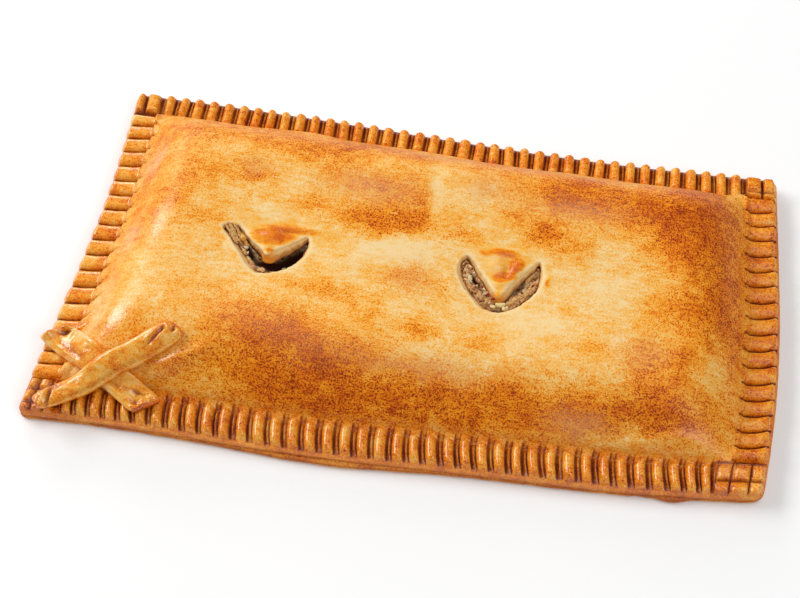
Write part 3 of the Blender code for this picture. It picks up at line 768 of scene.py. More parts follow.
def slotLoop(vent):
    # the slot's edge at the top: round the V, then back along the tongue; and the tongue's share of it
    step = ventEdge["step"]
    loop, at, knots = throughPoints(vent["outer"] + vent["tongue"], step)
    first, last = knots[len(vent["outer"])], knots[-1]
    onTongue = np.sin(np.pi * np.clip((at - first) / (last - first), 0.0, 1.0)) ** 0.5
    size, strength = ventEdge["wobble"]
    wobble = strength * unevenness(np.arange(len(loop)) * step, vent["seed"] * 3.1, size, vent["seed"])
    normal = np.roll(loop, -1, axis=0) - np.roll(loop, 1, axis=0)
    normal /= np.linalg.norm(normal, axis=1)[:, None]
    normal = np.stack([-normal[:, 1], normal[:, 0]], -1)  # towards the inside of the slot
    return loop + normal * wobble[:, None], onTongue, normal


def tipOf(vent):
    return np.array(min(vent["tongue"], key=lambda point: point[1])) * mm


def wallLean(vent, loop, onTongue):
    # how far the cut wall slopes out into the slot at its foot
    apex = loop[loop[:, 1].argmin()]
    before, over = ventEdge["apexBlend"]
    outer = lerp(*vent["outerLean"], easeIn(loop[:, 0], apex[0] - before, over))
    hinge = max(vent["tongue"][0][1], vent["tongue"][-1][1]) * mm
    outer = outer * (onTongue == 0.0) * smooth((hinge - loop[:, 1]) / ventEdge["hingeBlend"])
    before, over = ventEdge["tipBlend"]
    leaning = lerp(*vent["lean"], easeIn(loop[:, 0], tipOf(vent)[0] - before, over))
    return softened(leaning * onTongue + outer, ventEdge["leanSoftening"])


def tongueShare(vent, x, y):
    # 0 at the line where the tongue hangs and 1 at its tip, only on the tongue itself
    points = np.array(vent["tongue"]) * mm
    corner = np.array([points[-1], points[points[:, 1].argmin()], points[0]])
    base = (corner[0] + corner[2]) / 2
    axis = corner[1] - base
    t = ((x - base[0]) * axis[0] + (y - base[1]) * axis[1]) / (axis @ axis)
    grown = corner + (corner - corner.mean(axis=0)) * ventEdge["tongueGrown"]
    return np.where(pointInside(x, y, grown), np.clip(t, 0.0, ventEdge["pastTip"]), 0.0)


slots = {name: slotLoop(vent) for name, vent in vents.items()}
slotEdges = [loop for loop, _, _ in slots.values()]


def lidTop(x, y, edgeDistance=None):
    z = domeHeight(x, y) + sumOfPatches(ventEdge["blisters"], x, y) * mm
    for vent in vents.values():
        z = z + vent["lift"] * tongueShare(vent, x, y) ** ventEdge["liftPower"]
    if edgeDistance is not None:
        near = np.clip(1.0 - edgeDistance / ventEdge["rounding"], 0.0, 1.0)
        z = z - ventEdge["rounding"] * (1.0 - np.sqrt(1.0 - near * near * ventEdge["roundest"]))
    return z


def lattice(x0, x1, y0, y1, pitch):
    # staggered points over a rectangle
    rows = np.arange(y0, y1, pitch * 0.87)
    out = []
    for i, y in enumerate(rows):
        xs = np.arange(x0 + (i % 2) * pitch / 2, x1, pitch)
        out.append(np.stack([xs, np.full(len(xs), y)], -1))
    return np.concatenate(out)


def slotDistance(x, y, loops=slotEdges):
    return np.minimum.reduce([distanceTo(x, y, loop) for loop in loops])


def inAnySlot(x, y, loops=slotEdges):
    return np.logical_or.reduce([pointInside(x, y, loop) for loop in loops])


def latticeAround(loop, reach, pitch):
    (lowX, lowY), (highX, highY) = loop.min(axis=0) - reach, loop.max(axis=0) + reach
    return lattice(lowX, highX, lowY, highY, pitch)


def domePoints(pitch):
    # points of the dome's surface: an even lattice, finer round the vents, with rings along their edges
    margin = rimMesh["footTo"] + pitch * 0.6
    even = lattice(*(lineAt(side, margin) for side in (*endSides, *longSides)), pitch)
    finePitch, within = ventEdge["finePitch"], ventEdge["fineWithin"]
    fine = np.concatenate([latticeAround(loop, ventEdge["fineReach"], finePitch) for loop in slotEdges])
    rings = []
    for loop, _, normal in slots.values():
        for away in ventEdge["rings"]:
            ring = loop - normal * away * mm
            rings.append(ring[(distanceTo(*ring.T, loop) > 0.9 * away * mm) & ~pointInside(*ring.T, loop)])
    evenAway, fineAway = slotDistance(*even.T), slotDistance(*fine.T)
    farEnough = ventEdge["rings"][-1] * mm + 0.4 * finePitch
    fine = fine[(fineAway > farEnough) & (fineAway < within) & ~inAnySlot(*fine.T)]
    even = even[(evenAway > within + pitch * 0.4) & ~inAnySlot(*even.T)]
    return np.concatenate([even, fine, *rings])


def loopOf(sheets, row):
    # the points of one row of the four sides, in order round the rectangle
    front, right, back, left = (sheets[side][0][row, :, :2] for side in ("front", "right", "back", "left"))
    return np.concatenate([front[:-1], right[:-1], back[::-1][:-1], left[::-1][:-1]])


# Where the lid has browned: centre, reach, turn and how much. Negative ones stay pale.
toasting = {
    "frontHump": (-60, -66, 45, 20, 0, 0.50),
    "frontHumpTop": (-72, -47, 36, 10, -6, 0.26),
    "frontHumpFoot": (-48, -82, 42, 6, 0, 0.20),
    "frontBand": (48, -73, 84, 13, 1, 0.50),
    "frontBandMiddle": (-8, -66, 26, 11, 0, 0.10),
    "rightFront": (126, -44, 20, 13, -20, 0.32),
    "rightFrontSpot": (141, -38, 8, 9, 0, 0.28),
    "rightFrontLow": (124, -66, 20, 13, 0, 0.34),
    "rightFrontFoot": (146, -70, 14, 8, 0, 0.26),
    "rightFoot": (165, -8, 12, 64, 0, 0.44),
    "rightShoulder": (146, 30, 16, 46, 6, 0.50),
    "rightUpper": (121, 32, 13, 22, 0, 0.26),
    "rightMiddle": (131, -12, 14, 14, 0, 0.30),
    "rightSide": (151, -15, 8, 10, 0, 0.18),
    "rightBackCorner": (150, 66, 26, 18, 0, 0.32),
    "backRight": (98, 53, 46, 17, -4, 0.50),
    "backRightHigh": (84, 68, 20, 7, 0, 0.22),
    "backRightDark": (64, 50, 16, 10, -10, 0.22),
    "backRightEdge": (58, 29, 9, 7, -30, 0.36),
    "backRightLow": (70, 22, 20, 8, 0, 0.22),
    "backRightSpot": (40, 38, 9, 6, 0, 0.22),
    "backRightMiddle": (18, 21, 9, 4.5, 0, 0.32),
    "backRightTop": (24, 68, 30, 10, 0, 0.17),
    "backMiddle": (-28, 44, 20, 12, 0, 0.34),
    "backMiddleLow": (-34, 24, 30, 8, 4, 0.42),
    "backMiddleFoot": (-20, 17, 18, 5, 12, 0.28),
    "backMiddleSide": (-8, 32, 9, 14, 0, 0.20),
    "backMiddleTop": (-18, 68, 14, 9, 0, 0.22),
    "backMiddleLeft": (-62, 60, 18, 14, 0, 0.26),
    "backMiddleHigh": (-44, 77, 14, 9, 0, 0.26),
    "besideLeftVent": (-68, 31, 10, 11, 0, 0.20),
    "backFoot": (20, 78, 150, 10, 0, 0.22),
    "backLeft": (-106, 40, 13, 8, 0, 0.36),
    "backLeftTop": (-98, 66, 40, 11, 0, 0.30),
    "backLeftFoot": (-110, 82, 36, 6, 0, 0.20),
    "leftBack": (-137, 34, 15, 14, 20, 0.28),
    "leftBackTop": (-152, 66, 20, 14, 0, 0.25),
    "leftFoot": (-168, 10, 10, 70, 0, 0.26),
    "leftSide": (-151, 12, 11, 20, 0, 0.26),
    "leftMiddle": (-130, 8, 14, 8, 0, 0.14),
    "aroundStrips": (-146, -64, 20, 14, 0, 0.20),
    "besideStrips": (-116, -75, 21, 7, 24, 0.24),
    "blush": (-9, -8, 11, 8, 0, 0.30),
    "spotOne": (-43, -26, 14, 6, 0, 0.34),
    "spotTwo": (-23, -35, 7, 4, 0, 0.26),
    "spotThree": (2, -39, 11, 4.5, 0, 0.28),
    "spotFour": (12, -14, 6, 5, 0, 0.18),
    "spotFive": (84, -38, 12, 6, 0, 0.22),
    "spotSix": (-110, -34, 16, 4, 0, 0.12),
    "spotSeven": (38, -41, 15, 6, 0, 0.16),
    "spotEight": (82, -20, 10, 7, 0, 0.12),
    "spotNine": (-62, -24, 10, 4, 0, 0.14),
    "blisterLeft": (-86, 3.0, 9.0, 4.8, 8, 0.08),
    "blisterLeftMiddle": (-82, 2.0, 5.0, 3.0, 8, 0.24),
    "blisterLeftTop": (-77, 9, 14, 2.0, 2, 0.10),
    "leftTip": (-85, -6.6, 4, 1.8, 10, 0.55),
    "leftSpeck": (-78.6, 0.4, 0.7, 0.7, 0, 0.60),
    "blisterRight": (39, 4, 9, 8, 0, 0.10),
    "blisterRightTop": (36.5, 13, 9, 2.2, 4, 0.12),
    "blisterRightSide": (46.5, 6, 3.2, 5, -14, 0.20),
    "blisterRightTip": (41.5, -2.2, 6.4, 3.0, 10, 0.20),
    "blisterRightPale": (32.0, 5.0, 2.8, 5.0, -20, -0.14),
    "rightTip": (39.8, -12.0, 3.0, 2.6, 0, 0.60),
    "besideRight": (65.5, 0.6, 1.9, 2.2, 0, 0.52),
    "leftEnd": (-118, 9.6, 5, 2.2, -8, 0.34),
    "rightEnd": (17.5, 6.6, 2.4, 1.6, 30, 0.40),
    "speckOne": (-2, -79, 1.6, 1.5, 0, 0.55),
    "speckTwo": (16.5, -80, 2.0, 1.6, 0, 0.60),
    "speckThree": (40, -78, 1.8, 1.5, 0, 0.40),
    "speckFour": (62, 54, 2.0, 2.2, 0, 0.25),
    "backValleyPale": (-2, 48, 4.5, 26, 0, -0.22),
    "centrePale": (-20, 4, 28, 10, 0, -0.22),
    "ventPale": (62, -30, 34, 12, 0, -0.16),
    "rightPale": (98, 2, 22, 12, 0, -0.12),
    "frontRightPale": (158, -40, 7, 15, 0, -0.22),
    "leftVentPale": (-78, 20, 20, 5, 6, -0.16),
    "frontFoldPale": (124, -79.5, 13, 1.6, 9, -0.25),
}
# Blisters with a clear edge, where the brushed wash baked to an even orange.
blistered = {
    "leftFlap": (-85.5, 2.6, 14, 6.0, 8, 0.28),
    "leftFlapTop": (-77, 9.2, 17, 2.5, 2, 0.26),
    "rightFlapTop": (36.5, 13.0, 11.5, 2.8, 4, 0.28),
    "rightFlapSide": (46.6, 6.0, 4.0, 6.4, -14, 0.30),
    "rightFlapTip": (41.5, -2.0, 7.6, 3.8, 10, 0.30),
}
# Painted sheen: a dull pinkish haze of reflected light over some of the brown.
sheenPatches = {
    "frontHump": (-66, -50, 42, 10, -8, 0.45),
    "frontBandTop": (10, -60, 40, 5, 0, 0.7),
    "frontBandRight": (92, -76, 16, 6, 0, 0.9),
    "backMiddle": (-38, 43, 26, 9, 0, 0.9),
    "backRight": (76, 46, 26, 9, 0, 0.9),
    "backRightTop": (26, 52, 14, 9, 0, 0.7),
    "backLeft": (-104, 44, 10, 5, 0, 0.6),
    "blush": (-9, -9, 12, 9, 0, 0.5),
    "rightFront": (118, -38, 14, 8, 0, 0.6),
    "backFoot": (30, 77, 70, 4, 0, 0.8),
}
# Where the egg wash pooled and shines.
glazed = {
    "leftShoulder": (-160, -2, 16, 9, 28, 1.0),
    "leftBack": (-168, 45, 12, 9, 40, 1.0),
    "leftFront": (-172, -40, 10, 16, 10, 0.7),
    "behindStrips": (-158, -57, 14, 9, 30, 1.0),
    "besideStrips": (-120, -72, 20, 7, 24, 1.0),
    "blisterLeft": (-84, 7, 12, 5, 10, 0.9),
    "blisterRight": (37, 5, 9, 7, -10, 1.0),
    "frontRight": (140, -78, 24, 6, 0, 0.5),
    "backMiddle": (-72, 41, 6, 4, -40, 0.9),
}
# Where the surface is smooth, with little speckle.
smoothed = {
    "leftFlap": (-84, 4, 22, 11, 0, 1.2),
    "rightFlap": (39, 4, 17, 16, 0, 1.2),
    "besideRight": (65.5, 0.6, 4, 4, 0, 0.8),
    "behindStrips": (-158, -50, 12, 12, 0, 0.5),
    "leftShoulder": (-164, 6, 12, 40, 0, 0.4),
}


baking = {
    "palest": 0.19,
    "raggedX": ((9 * mm, 3.0 * mm, 61), (3.4 * mm, 1.2 * mm, 62)),
    "raggedY": ((9 * mm, 3.0 * mm, 63), (3.4 * mm, 1.2 * mm, 64)),
    "blisterRagged": 0.3,
    "blisterEdge": (0.32, 0.22),
    "cutEdge": (1.7 * mm, 0.34),
    "brownFrom": 0.5,  # above this the browning slows down, so that nothing is quite burnt
    "brownOver": 0.30,
    "mostPlain": 0.8,
}


def lidData(x, y, edgeAway=None):
    # browning, painted sheen and glaze at points of the layout; the patches' edges are ragged
    ragX, ragY = x + lumpsOf(baking["raggedX"], x, y), y + lumpsOf(baking["raggedY"], x, y)
    fineX, fineY = lerp(x, ragX, baking["blisterRagged"]), lerp(y, ragY, baking["blisterRagged"])
    toast = baking["palest"] + sumOfPatches(toasting, ragX, ragY)
    toast = toast + sumOfPatches(blistered, fineX, fineY, baking["blisterEdge"])
    if edgeAway is not None:  # cut edges stay pale
        reach, paler = baking["cutEdge"]
        toast = toast - paler * bell(edgeAway / reach)
    start, over = baking["brownFrom"], baking["brownOver"]
    toast = np.where(toast > start, start + over * np.tanh((toast - start) / over), toast)
    data = {"toast": toast, "bloom": sumOfPatches(sheenPatches, ragX, ragY),
            "glaze": sumOfPatches(glazed, ragX, ragY)}
    data = {key: np.clip(values, 0.0, 1.0) for key, values in data.items()}
    data["plain"] = np.clip(sumOfPatches(smoothed, x, y), 0.0, baking["mostPlain"])
    return data


# Browning of the rim: the logs' crests and grooves, by side, and the plain lip outside them; the grooves'
# darker brown is painted shade.
rimToast = {
    "front": {"crest": 0.50, "groove": 0.94, "glaze": 0.9, "plain": 0.35, "lip": 2.6 * mm, "deepEnd": 0.24},
    "back": {"crest": 0.50, "groove": 0.90, "glaze": 0.35, "plain": 0.3, "lip": 0.0, "deepEnd": 0.15},
    "left": {"crest": 0.44, "groove": 0.86, "glaze": 0.8, "plain": 0.4, "lip": 0.0, "deepEnd": 0.2},
    "right": {"crest": 0.54, "groove": 0.94, "glaze": 0.4, "plain": 0.4, "lip": 1.7 * mm, "deepEnd": 0.0},
}


rimBaking = {  # the same for all four sides
    "mottle": ((7 * mm, 0.10, 71), (2.5 * mm, 0.08, 72)),
    "deepEnd": (5 * mm, 9 * mm),
    "domeFrom": (2 * mm, 5 * mm),  # how far outside its foot the dome's looks start, and over how much
    # painted shade: the creases run browner onto the dome's foot
    "grooveShadeBrowning": 0.25,
    # how much of the pinkish tint lies in the grooves, as part of their painted shade, and on the lip
    "grooveDustAndSheen": 0.25,
    "lipOver": 1.0 * mm,
    "lipToast": 0.62,
    "lipDustAndSheen": 0.75,
}


def rimData(side, grid, grooveShades):
    x, y = grid[..., 0], grid[..., 1]
    look = rimToast[side]
    inset = nearestInset(x, y)
    mottle = lumpsOf(rimBaking["mottle"], x, y)
    deep = 1.0 - look["deepEnd"] * easeIn(inset, *rimBaking["deepEnd"])  # the grooves' painted shade is darkest at the outer end
    toast = lerp(look["crest"], look["groove"] * deep, smooth(grooveShades)) + mottle
    groove = smooth(grooveShades) * deep
    onDome = lidData(x, y)
    outside, over = rimBaking["domeFrom"]
    blend = easeIn(inset, rimWidth - outside, over)
    toast = lerp(toast, onDome["toast"] + rimBaking["grooveShadeBrowning"] * grooveShades, blend)
    bloom = lerp(rimBaking["grooveDustAndSheen"] * groove, onDome["bloom"], blend)
    glaze = lerp(look["glaze"] * (1.0 - groove), onDome["glaze"], blend)
    if look["lip"]:
        lip = smooth((look["lip"] - inset) / rimBaking["lipOver"])
        toast = lerp(toast, rimBaking["lipToast"] + mottle, lip)
        bloom = lerp(bloom, rimBaking["lipDustAndSheen"], lip)
        groove, glaze = groove * (1.0 - lip), glaze * (1.0 - lip)
    return {"toast": np.clip(toast, 0.0, 1.0), "bloom": bloom, "glaze": glaze, "groove": groove,
            "plain": lerp(look["plain"], onDome["plain"], blend)}


underside = {  # of the lid: flat at the seam, then up under the dome
    "rings": (12.0, 20.0, 21.2, 22.5, 24.0, 26.0, 30.0),
    "ringStep": 4 * mm,
    "gap": 5 * mm,  # from the innermost ring to the even points
    "pitch": 9 * mm,
    "slotPitch": 2.4 * mm,
    "clear": 0.8 * mm,  # round the walls' feet
    "rise": 6 * mm,
}


def rimSheets(sides):
    parts = [(side, *sheet) for side, sheet in sides.items()]
    parts += [(end, *cornerSheet(side, end)) for side, end in cornerStyle]
    sheets = [(lifted(grid, grid[..., 2]), gridFaces(*grid.shape[:2]), rimData(side, grid, grooveShades), 0)
              for side, grid, grooveShades in parts]
    print("rim pressed:", sum(len(sheet[1]) for sheet in sheets), "faces")
    return sheets


def domeSheet(sides):
    # the dome's top, with the slots left open
    flat, faces = meshBetween(loopOf(sides, -1), slotEdges, domePoints(ventEdge["coarsePitch"]))
    x, y = flat.T
    away = slotDistance(x, y)
    print("dome raised:", len(faces), "triangles")
    return lifted(flat, lidTop(x, y, away)), faces, lidData(x, y, away), 0


def slotWall(name):
    # one slot's cut wall, down through the dough, and its foot in the layout
    vent = vents[name]
    loop, onTongue, normal = slots[name]
    shares = np.linspace(0.0, 1.0, ventEdge["wallRows"])
    edgeTop = lidTop(*loop.T, np.zeros(len(loop)))
    along = np.arange(len(loop)) * ventEdge["step"]
    lean = wallLean(vent, loop, onTongue)
    size, strength = ventEdge["ragged"]
    rings = []
    for share in shares:
        ragged = strength * unevenness(along, share * 5 * mm, size, vent["seed"] + 5) * min(share * 4.0, 1.0)
        z = edgeTop - share * (heights["lidThickness"] - ventEdge["rounding"] * 0.5)
        rings.append(np.column_stack([loop + normal * (lean * share + ragged)[:, None], z]))
    rings = np.array(rings)
    browned = bell(np.linalg.norm(loop - tipOf(vent), axis=1) / ventEdge["tipReach"]) * (onTongue > 0.0)
    depth, browned = np.broadcast_arrays(shares[:, None], browned)
    data = {"depth": depth, "browned": browned}
    return (lifted(rings, rings[..., 2]), gridFaces(*rings.shape[:2], closed=True), data, 1), rings[-1]


def undersideSheet(sides, feet):
    # flat at the seam, then following the dome at the dough's thickness
    innermost = underside["rings"][-1] * mm + underside["gap"]
    coarse = lattice(*(lineAt(side, innermost) for side in (*endSides, *longSides)), underside["pitch"])
    rings = [ringAt(inset * mm, underside["ringStep"]) for inset in underside["rings"]]
    fine = domePoints(underside["slotPitch"])
    fine = fine[slotDistance(*fine.T) < ventEdge["fineWithin"]][::3]
    loops = [foot[:, :2] for foot in feet]
    extra = np.concatenate([coarse, fine, *rings])
    clear = ~inAnySlot(*extra.T, loops) & (slotDistance(*extra.T, loops) > underside["clear"])
    flat, faces = meshBetween(seamLoop(sides), loops, extra[clear])
    x, y = flat.T
    rising = easeIn(nearestInset(x, y), rimWidth, underside["rise"])
    z = lerp(heights["seam"], lidTop(x, y) - heights["lidThickness"], rising)
    for px, py, pz in np.concatenate(feet):  # the walls' feet keep their own heights
        z[(np.abs(x - px) < samePoint) & (np.abs(y - py) < samePoint)] = pz
    return lifted(flat, z), faces, {"depth": 1.0}, 1


def makeLid(materials):
    sides = {side: sideSheet(side) for side in rimStyle}
    sheets = rimSheets(sides)
    sheets.append(domeSheet(sides))
    walls, feet = zip(*(slotWall(name) for name in vents))
    sheets += walls
    sheets.append(undersideSheet(sides, feet))
    return makePiece("lidCrust", sheets, materials)


def seamLoop(sides):
    # the rim's lower edge in order: each side's first row, then the corner square that follows it
    loop = []
    for side, backwards, corner in (("front", False, ("right", "front")), ("right", False, ("right", "back")),
                                    ("back", True, ("left", "back")), ("left", True, ("left", "front"))):
        row = sides[side][0][0, :, :2]
        grid = cornerSheet(*corner)[0][..., :2]
        if side in longSides:
            turn = np.concatenate([grid[::-1, 0], grid[0, 1:]])
        else:
            turn = np.concatenate([grid[0, ::-1], grid[1:, 0]])
        loop += [(row[::-1] if backwards else row)[:-1], turn[:-1]]
    loop = np.concatenate(loop)
    return loop[np.linalg.norm(loop - np.roll(loop, -1, axis=0), axis=1) > samePoint]


def addNode(tree, kind, settings=None, **inputs):
    made = tree.nodes.new("ShaderNode" + kind)
    for key, value in (settings or {}).items():
        setattr(made, key, value)
    for key, value in inputs.items():
        socket = made.inputs[int(key[1:])] if key[1:].isdigit() else made.inputs[key.replace("_", " ")]
        if isinstance(value, bpy.types.NodeSocket):
            tree.links.new(value, socket)
        else:
            socket.default_value = value
    return made


def maths(tree, operation, a, b, clamp=False):
    return addNode(tree, "Math", {"operation": operation, "use_clamp": clamp}, i0=a, i1=b).outputs[0]


def swing(tree, noise, amount):
    # a noise as a change of up to amount either way
    return maths(tree, "MULTIPLY", maths(tree, "SUBTRACT", noise, 0.5), 2.0 * amount)


def addBump(tree, shader, height, strength, distance, *sockets):
    raised = addNode(tree, "Bump", Strength=strength, Distance=distance, Height=height)
    for socket in sockets:
        tree.links.new(raised.outputs["Normal"], shader.inputs[socket])


def noiseAt(tree, coords, size, detail=3.0, roughness=0.55, distortion=0.0):
    # a noise whose lumps are about size across, from 0 to 1
    made = addNode(tree, "TexNoise", Vector=coords, Scale=0.8 / size, Detail=detail, Roughness=roughness,
                   Distortion=distortion)
    return made.outputs["Fac"]


def sRgb(red, green, blue):
    # a colour as seen on a screen, 0 to 255, as the shader wants it
    def linear(value):
        value /= 255.0
        return value / 12.92 if value <= 0.04045 else ((value + 0.055) / 1.055) ** 2.4
    return (linear(red), linear(green), linear(blue), 1.0)


def rampOf(tree, factor, stops):
    ramp = addNode(tree, "ValToRGB", Fac=factor)
    band = ramp.color_ramp
    while len(band.elements) < len(stops):
        band.elements.new(0.5)
    for element, (place, colour) in zip(band.elements, stops):
        element.position = place
        element.color = sRgb(*colour)
    return ramp.outputs["Color"]


def mixed(tree, factor, a, b):
    # the numbered inputs and output are the ones for colours
    return addNode(tree, "Mix", {"data_type": "RGBA"}, i0=factor, i6=a, i7=b).outputs[2]


# Which shader input each value of a finish sets, and what it is where the finish doesn't say.
finishInputs = {
    "roughness": ("Roughness", 0.5),
    "specular": ("Specular IOR Level", 0.5),
    "sheen": ("Coat Weight", 0.0),
    "coatRoughness": ("Coat Roughness", 0.2),
    "subsurface": ("Subsurface Weight", 0.0),
    "subsurfaceScale": ("Subsurface Scale", 0.4),
    "subsurfaceRadius": ("Subsurface Radius", (0.006, 0.003, 0.0015)),
}


def startMaterial(name, finish):
    material = bpy.data.materials.new(name)
    material.use_nodes = True
    tree = material.node_tree
    shader = tree.nodes["Principled BSDF"]
    for key, (socket, plain) in finishInputs.items():
        shader.inputs[socket].default_value = finish.get(key, plain)
    coords = addNode(tree, "TexCoord").outputs["Object"]
    return material, tree, shader, coords


def attribute(tree, name):
    return addNode(tree, "Attribute", {"attribute_name": name}).outputs["Fac"]


# Baked, egg-washed dough: from pale cream through gold and amber to dark brown.
crustFinish = {
    "browning": ((0.00, (242, 209, 151)), (0.15, (241, 193, 113)), (0.30, (243, 176, 67)),
                 (0.45, (241, 152, 26)), (0.60, (230, 124, 10)), (0.75, (212, 100, 6)),
                 (0.90, (184, 72, 5)), (1.00, (136, 44, 5))),
    "cloudSize": 10 * mm,
    "blotchSize": 2.8 * mm,
    "grainSize": 0.85 * mm,
    "fineSize": 0.5 * mm,
    "strokeSize": 7 * mm,
    "cloud": 0.34,
    "blotch": 0.30,
    "grain": 0.92,
    "fine": 1.15,
    "stroke": 0.30,
    "palest": 0.13,  # how much paler than the dough round it a grain may be
    "dustAndSheenColour": (212, 146, 104),
    # the colour and strength of the painted shade in grooves and creases
    "grooveShadeColour": (80, 26, 16),
    "grooveShadeStrength": 0.90,
    "roughness": 0.45,
    "coatRoughness": 0.15,
    "shine": 1.3,
    "specular": 0.14,
    "bump": 0.34 * mm,
    "doughBump": 0.7,
    "washBump": 0.45,  # the egg wash lies smoother than the dough
}


def crustMaterial(name, finish):
    material, tree, shader, coords = startMaterial(name, finish)
    toast = attribute(tree, "toast")
    cloud = noiseAt(tree, coords, finish["cloudSize"], 4.0, 0.6, 0.5)
    blotch = noiseAt(tree, coords, finish["blotchSize"], 3.0, 0.6, 0.3)
    grain = noiseAt(tree, coords, finish["grainSize"], 2.0, 0.6)
    fine = noiseAt(tree, coords, finish["fineSize"], 2.0, 0.6)
    brushed = addNode(tree, "Mapping", Vector=coords, Rotation=(0.0, 0.0, 0.35), Scale=(1.0, 4.5, 1.0))
    stroke = noiseAt(tree, brushed.outputs["Vector"], finish["strokeSize"], 3.0, 0.65, 0.4)
    mottling = maths(tree, "ADD", swing(tree, cloud, finish["cloud"]), swing(tree, stroke, finish["stroke"]))
    speckling = maths(tree, "ADD", swing(tree, blotch, finish["blotch"]), swing(tree, grain, finish["grain"]))
    speckling = maths(tree, "ADD", speckling, swing(tree, fine, finish["fine"]))
    browner = maths(tree, "ADD", maths(tree, "MULTIPLY", toast, 1.5), 0.20)  # more speckled where browner
    plainer = maths(tree, "SUBTRACT", 1.0, attribute(tree, "plain"))
    speckling = maths(tree, "MULTIPLY", maths(tree, "MULTIPLY", speckling, browner), plainer)
    speckling = maths(tree, "MAXIMUM", speckling, -finish["palest"])  # dark specks, few pale ones
    level = maths(tree, "ADD", maths(tree, "ADD", toast, mottling), speckling)
    colour = rampOf(tree, level, finish["browning"])
    # painted sheen: a dull pinkish haze of reflected light, broken up by the grain; on the unwashed base the
    # same tint also stands for flour dust
    bloom = maths(tree, "MULTIPLY", maths(tree, "SUBTRACT", grain, 0.18), 1.5, clamp=True)
    bloom = maths(tree, "MULTIPLY", attribute(tree, "bloom"), bloom)
    colour = mixed(tree, bloom, colour, sRgb(*finish["dustAndSheenColour"]))
    # painted shade: darker in the rim's grooves and the strips' creases
    groove = maths(tree, "MULTIPLY", attribute(tree, "groove"), finish["grooveShadeStrength"])
    colour = mixed(tree, groove, colour, sRgb(*finish["grooveShadeColour"]))
    tree.links.new(colour, shader.inputs["Base Color"])

    glaze = attribute(tree, "glaze")
    patchy = maths(tree, "MULTIPLY", glaze, maths(tree, "ADD", cloud, 0.25))
    shine = maths(tree, "ADD", maths(tree, "MULTIPLY", patchy, finish["shine"]), 0.06, clamp=True)
    tree.links.new(shine, shader.inputs["Coat Weight"])
    rough = maths(tree, "ADD", swing(tree, blotch, 0.15), finish["roughness"])
    rough = maths(tree, "SUBTRACT", rough, maths(tree, "MULTIPLY", glaze, 0.14), clamp=True)
    tree.links.new(rough, shader.inputs["Roughness"])
    relief = maths(tree, "ADD", maths(tree, "MULTIPLY", grain, 0.6), maths(tree, "MULTIPLY", blotch, 0.6))
    addBump(tree, shader, relief, finish["doughBump"], finish["bump"], "Normal")
    addBump(tree, shader, relief, finish["washBump"], finish["bump"], "Coat Normal")
    return material


# The cut faces of the vents: soft dough in thin layers, browned at the very top.
cutFinish = {
    "layers": ((0.00, (236, 170, 84)), (0.12, (250, 216, 152)), (0.36, (236, 190, 120)),
               (0.60, (204, 144, 78)), (0.84, (172, 112, 60)), (1.00, (134, 80, 40))),
    "tip": (232, 140, 42),
    "fibres": 0.4,
    "fibreSize": 2.2 * mm,
    "roughness": 0.75,
    "specular": 0.08,
    "bump": 0.5 * mm,
}


def cutMaterial(name, finish):
    material, tree, shader, coords = startMaterial(name, finish)
    flat = addNode(tree, "Mapping", Vector=coords, Scale=(1.0, 1.0, 4.0)).outputs["Vector"]
    fibres = noiseAt(tree, flat, finish["fibreSize"], 4.0, 0.7)
    level = maths(tree, "ADD", attribute(tree, "depth"), swing(tree, fibres, finish["fibres"]))
    colour = rampOf(tree, level, finish["layers"])
    patchy = maths(tree, "ADD", fibres, 0.45)
    browned = maths(tree, "MULTIPLY", attribute(tree, "browned"), patchy, clamp=True)
    colour = mixed(tree, browned, colour, sRgb(*finish["tip"]))
    tree.links.new(colour, shader.inputs["Base Color"])
    addBump(tree, shader, fibres, 0.8, finish["bump"], "Normal")
    return material


lidCrust = makeLid([crustMaterial("crust", crustFinish), cutMaterial("cutDough", cutFinish)])
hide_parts("lid_crust")
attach(lidCrust, "root")


# The bottom sheet shows as a thin layered band below the rim, furthest out along the middle of the front.
baseStyle = {
    "proud": 0.6 * mm,
    "bulges": {"middle": (-30, 75, 2.0), "right": (148, 11, 1.6), "rightDip": (131, 5, -0.5)},
    "backRetreat": 0.5 * mm,
    "waviness": 0.35 * mm,
    "step": 0.9 * mm,
    # the edge's profile: how far in from the outline, and how high, in mm
    "profile": ((2.4, 0.0), (1.3, 0.10), (0.55, 0.45), (0.15, 1.0), (0.0, 1.6), (0.16, 2.0), (0.02, 2.35),
                (0.05, 2.8), (0.22, 3.1), (0.12, 3.4), (0.5, 3.75), (1.2, 3.95), (2.4, 4.0)),
    "pitch": 4.5 * mm,
    "margin": 3 * mm,
    "seed": 81,
}


def baseOutline():
    # the sheet's edge in the plan, with the way out at each point
    x, y = ringAt(0.0, baseStyle["step"]).T
    loop = np.stack(plan(x, y), -1)
    normal = np.roll(loop, -1, axis=0) - np.roll(loop, 1, axis=0)
    normal = np.stack([normal[:, 1], -normal[:, 0]], -1)
    normal /= np.linalg.norm(normal, axis=1)[:, None]
    out = np.full(len(x), baseStyle["proud"])
    atFront = y < -halfDepth + samePoint
    for place, reach, amount in baseStyle["bulges"].values():
        out = out + np.where(atFront, amount * mm * smooth(1.0 - np.abs(x - place * mm) / (reach * mm)), 0.0)
    along = np.arange(len(x)) * baseStyle["step"]
    wave = 0.5 + 0.35 * unevenness(along, 0.0, 17 * mm, baseStyle["seed"])
    wave = wave + 0.15 * unevenness(along, 1.0, 4 * mm, baseStyle["seed"])
    out = out - baseStyle["waviness"] * wave - baseStyle["backRetreat"] * (y > 0)
    return loop, normal, softened(out, 3)


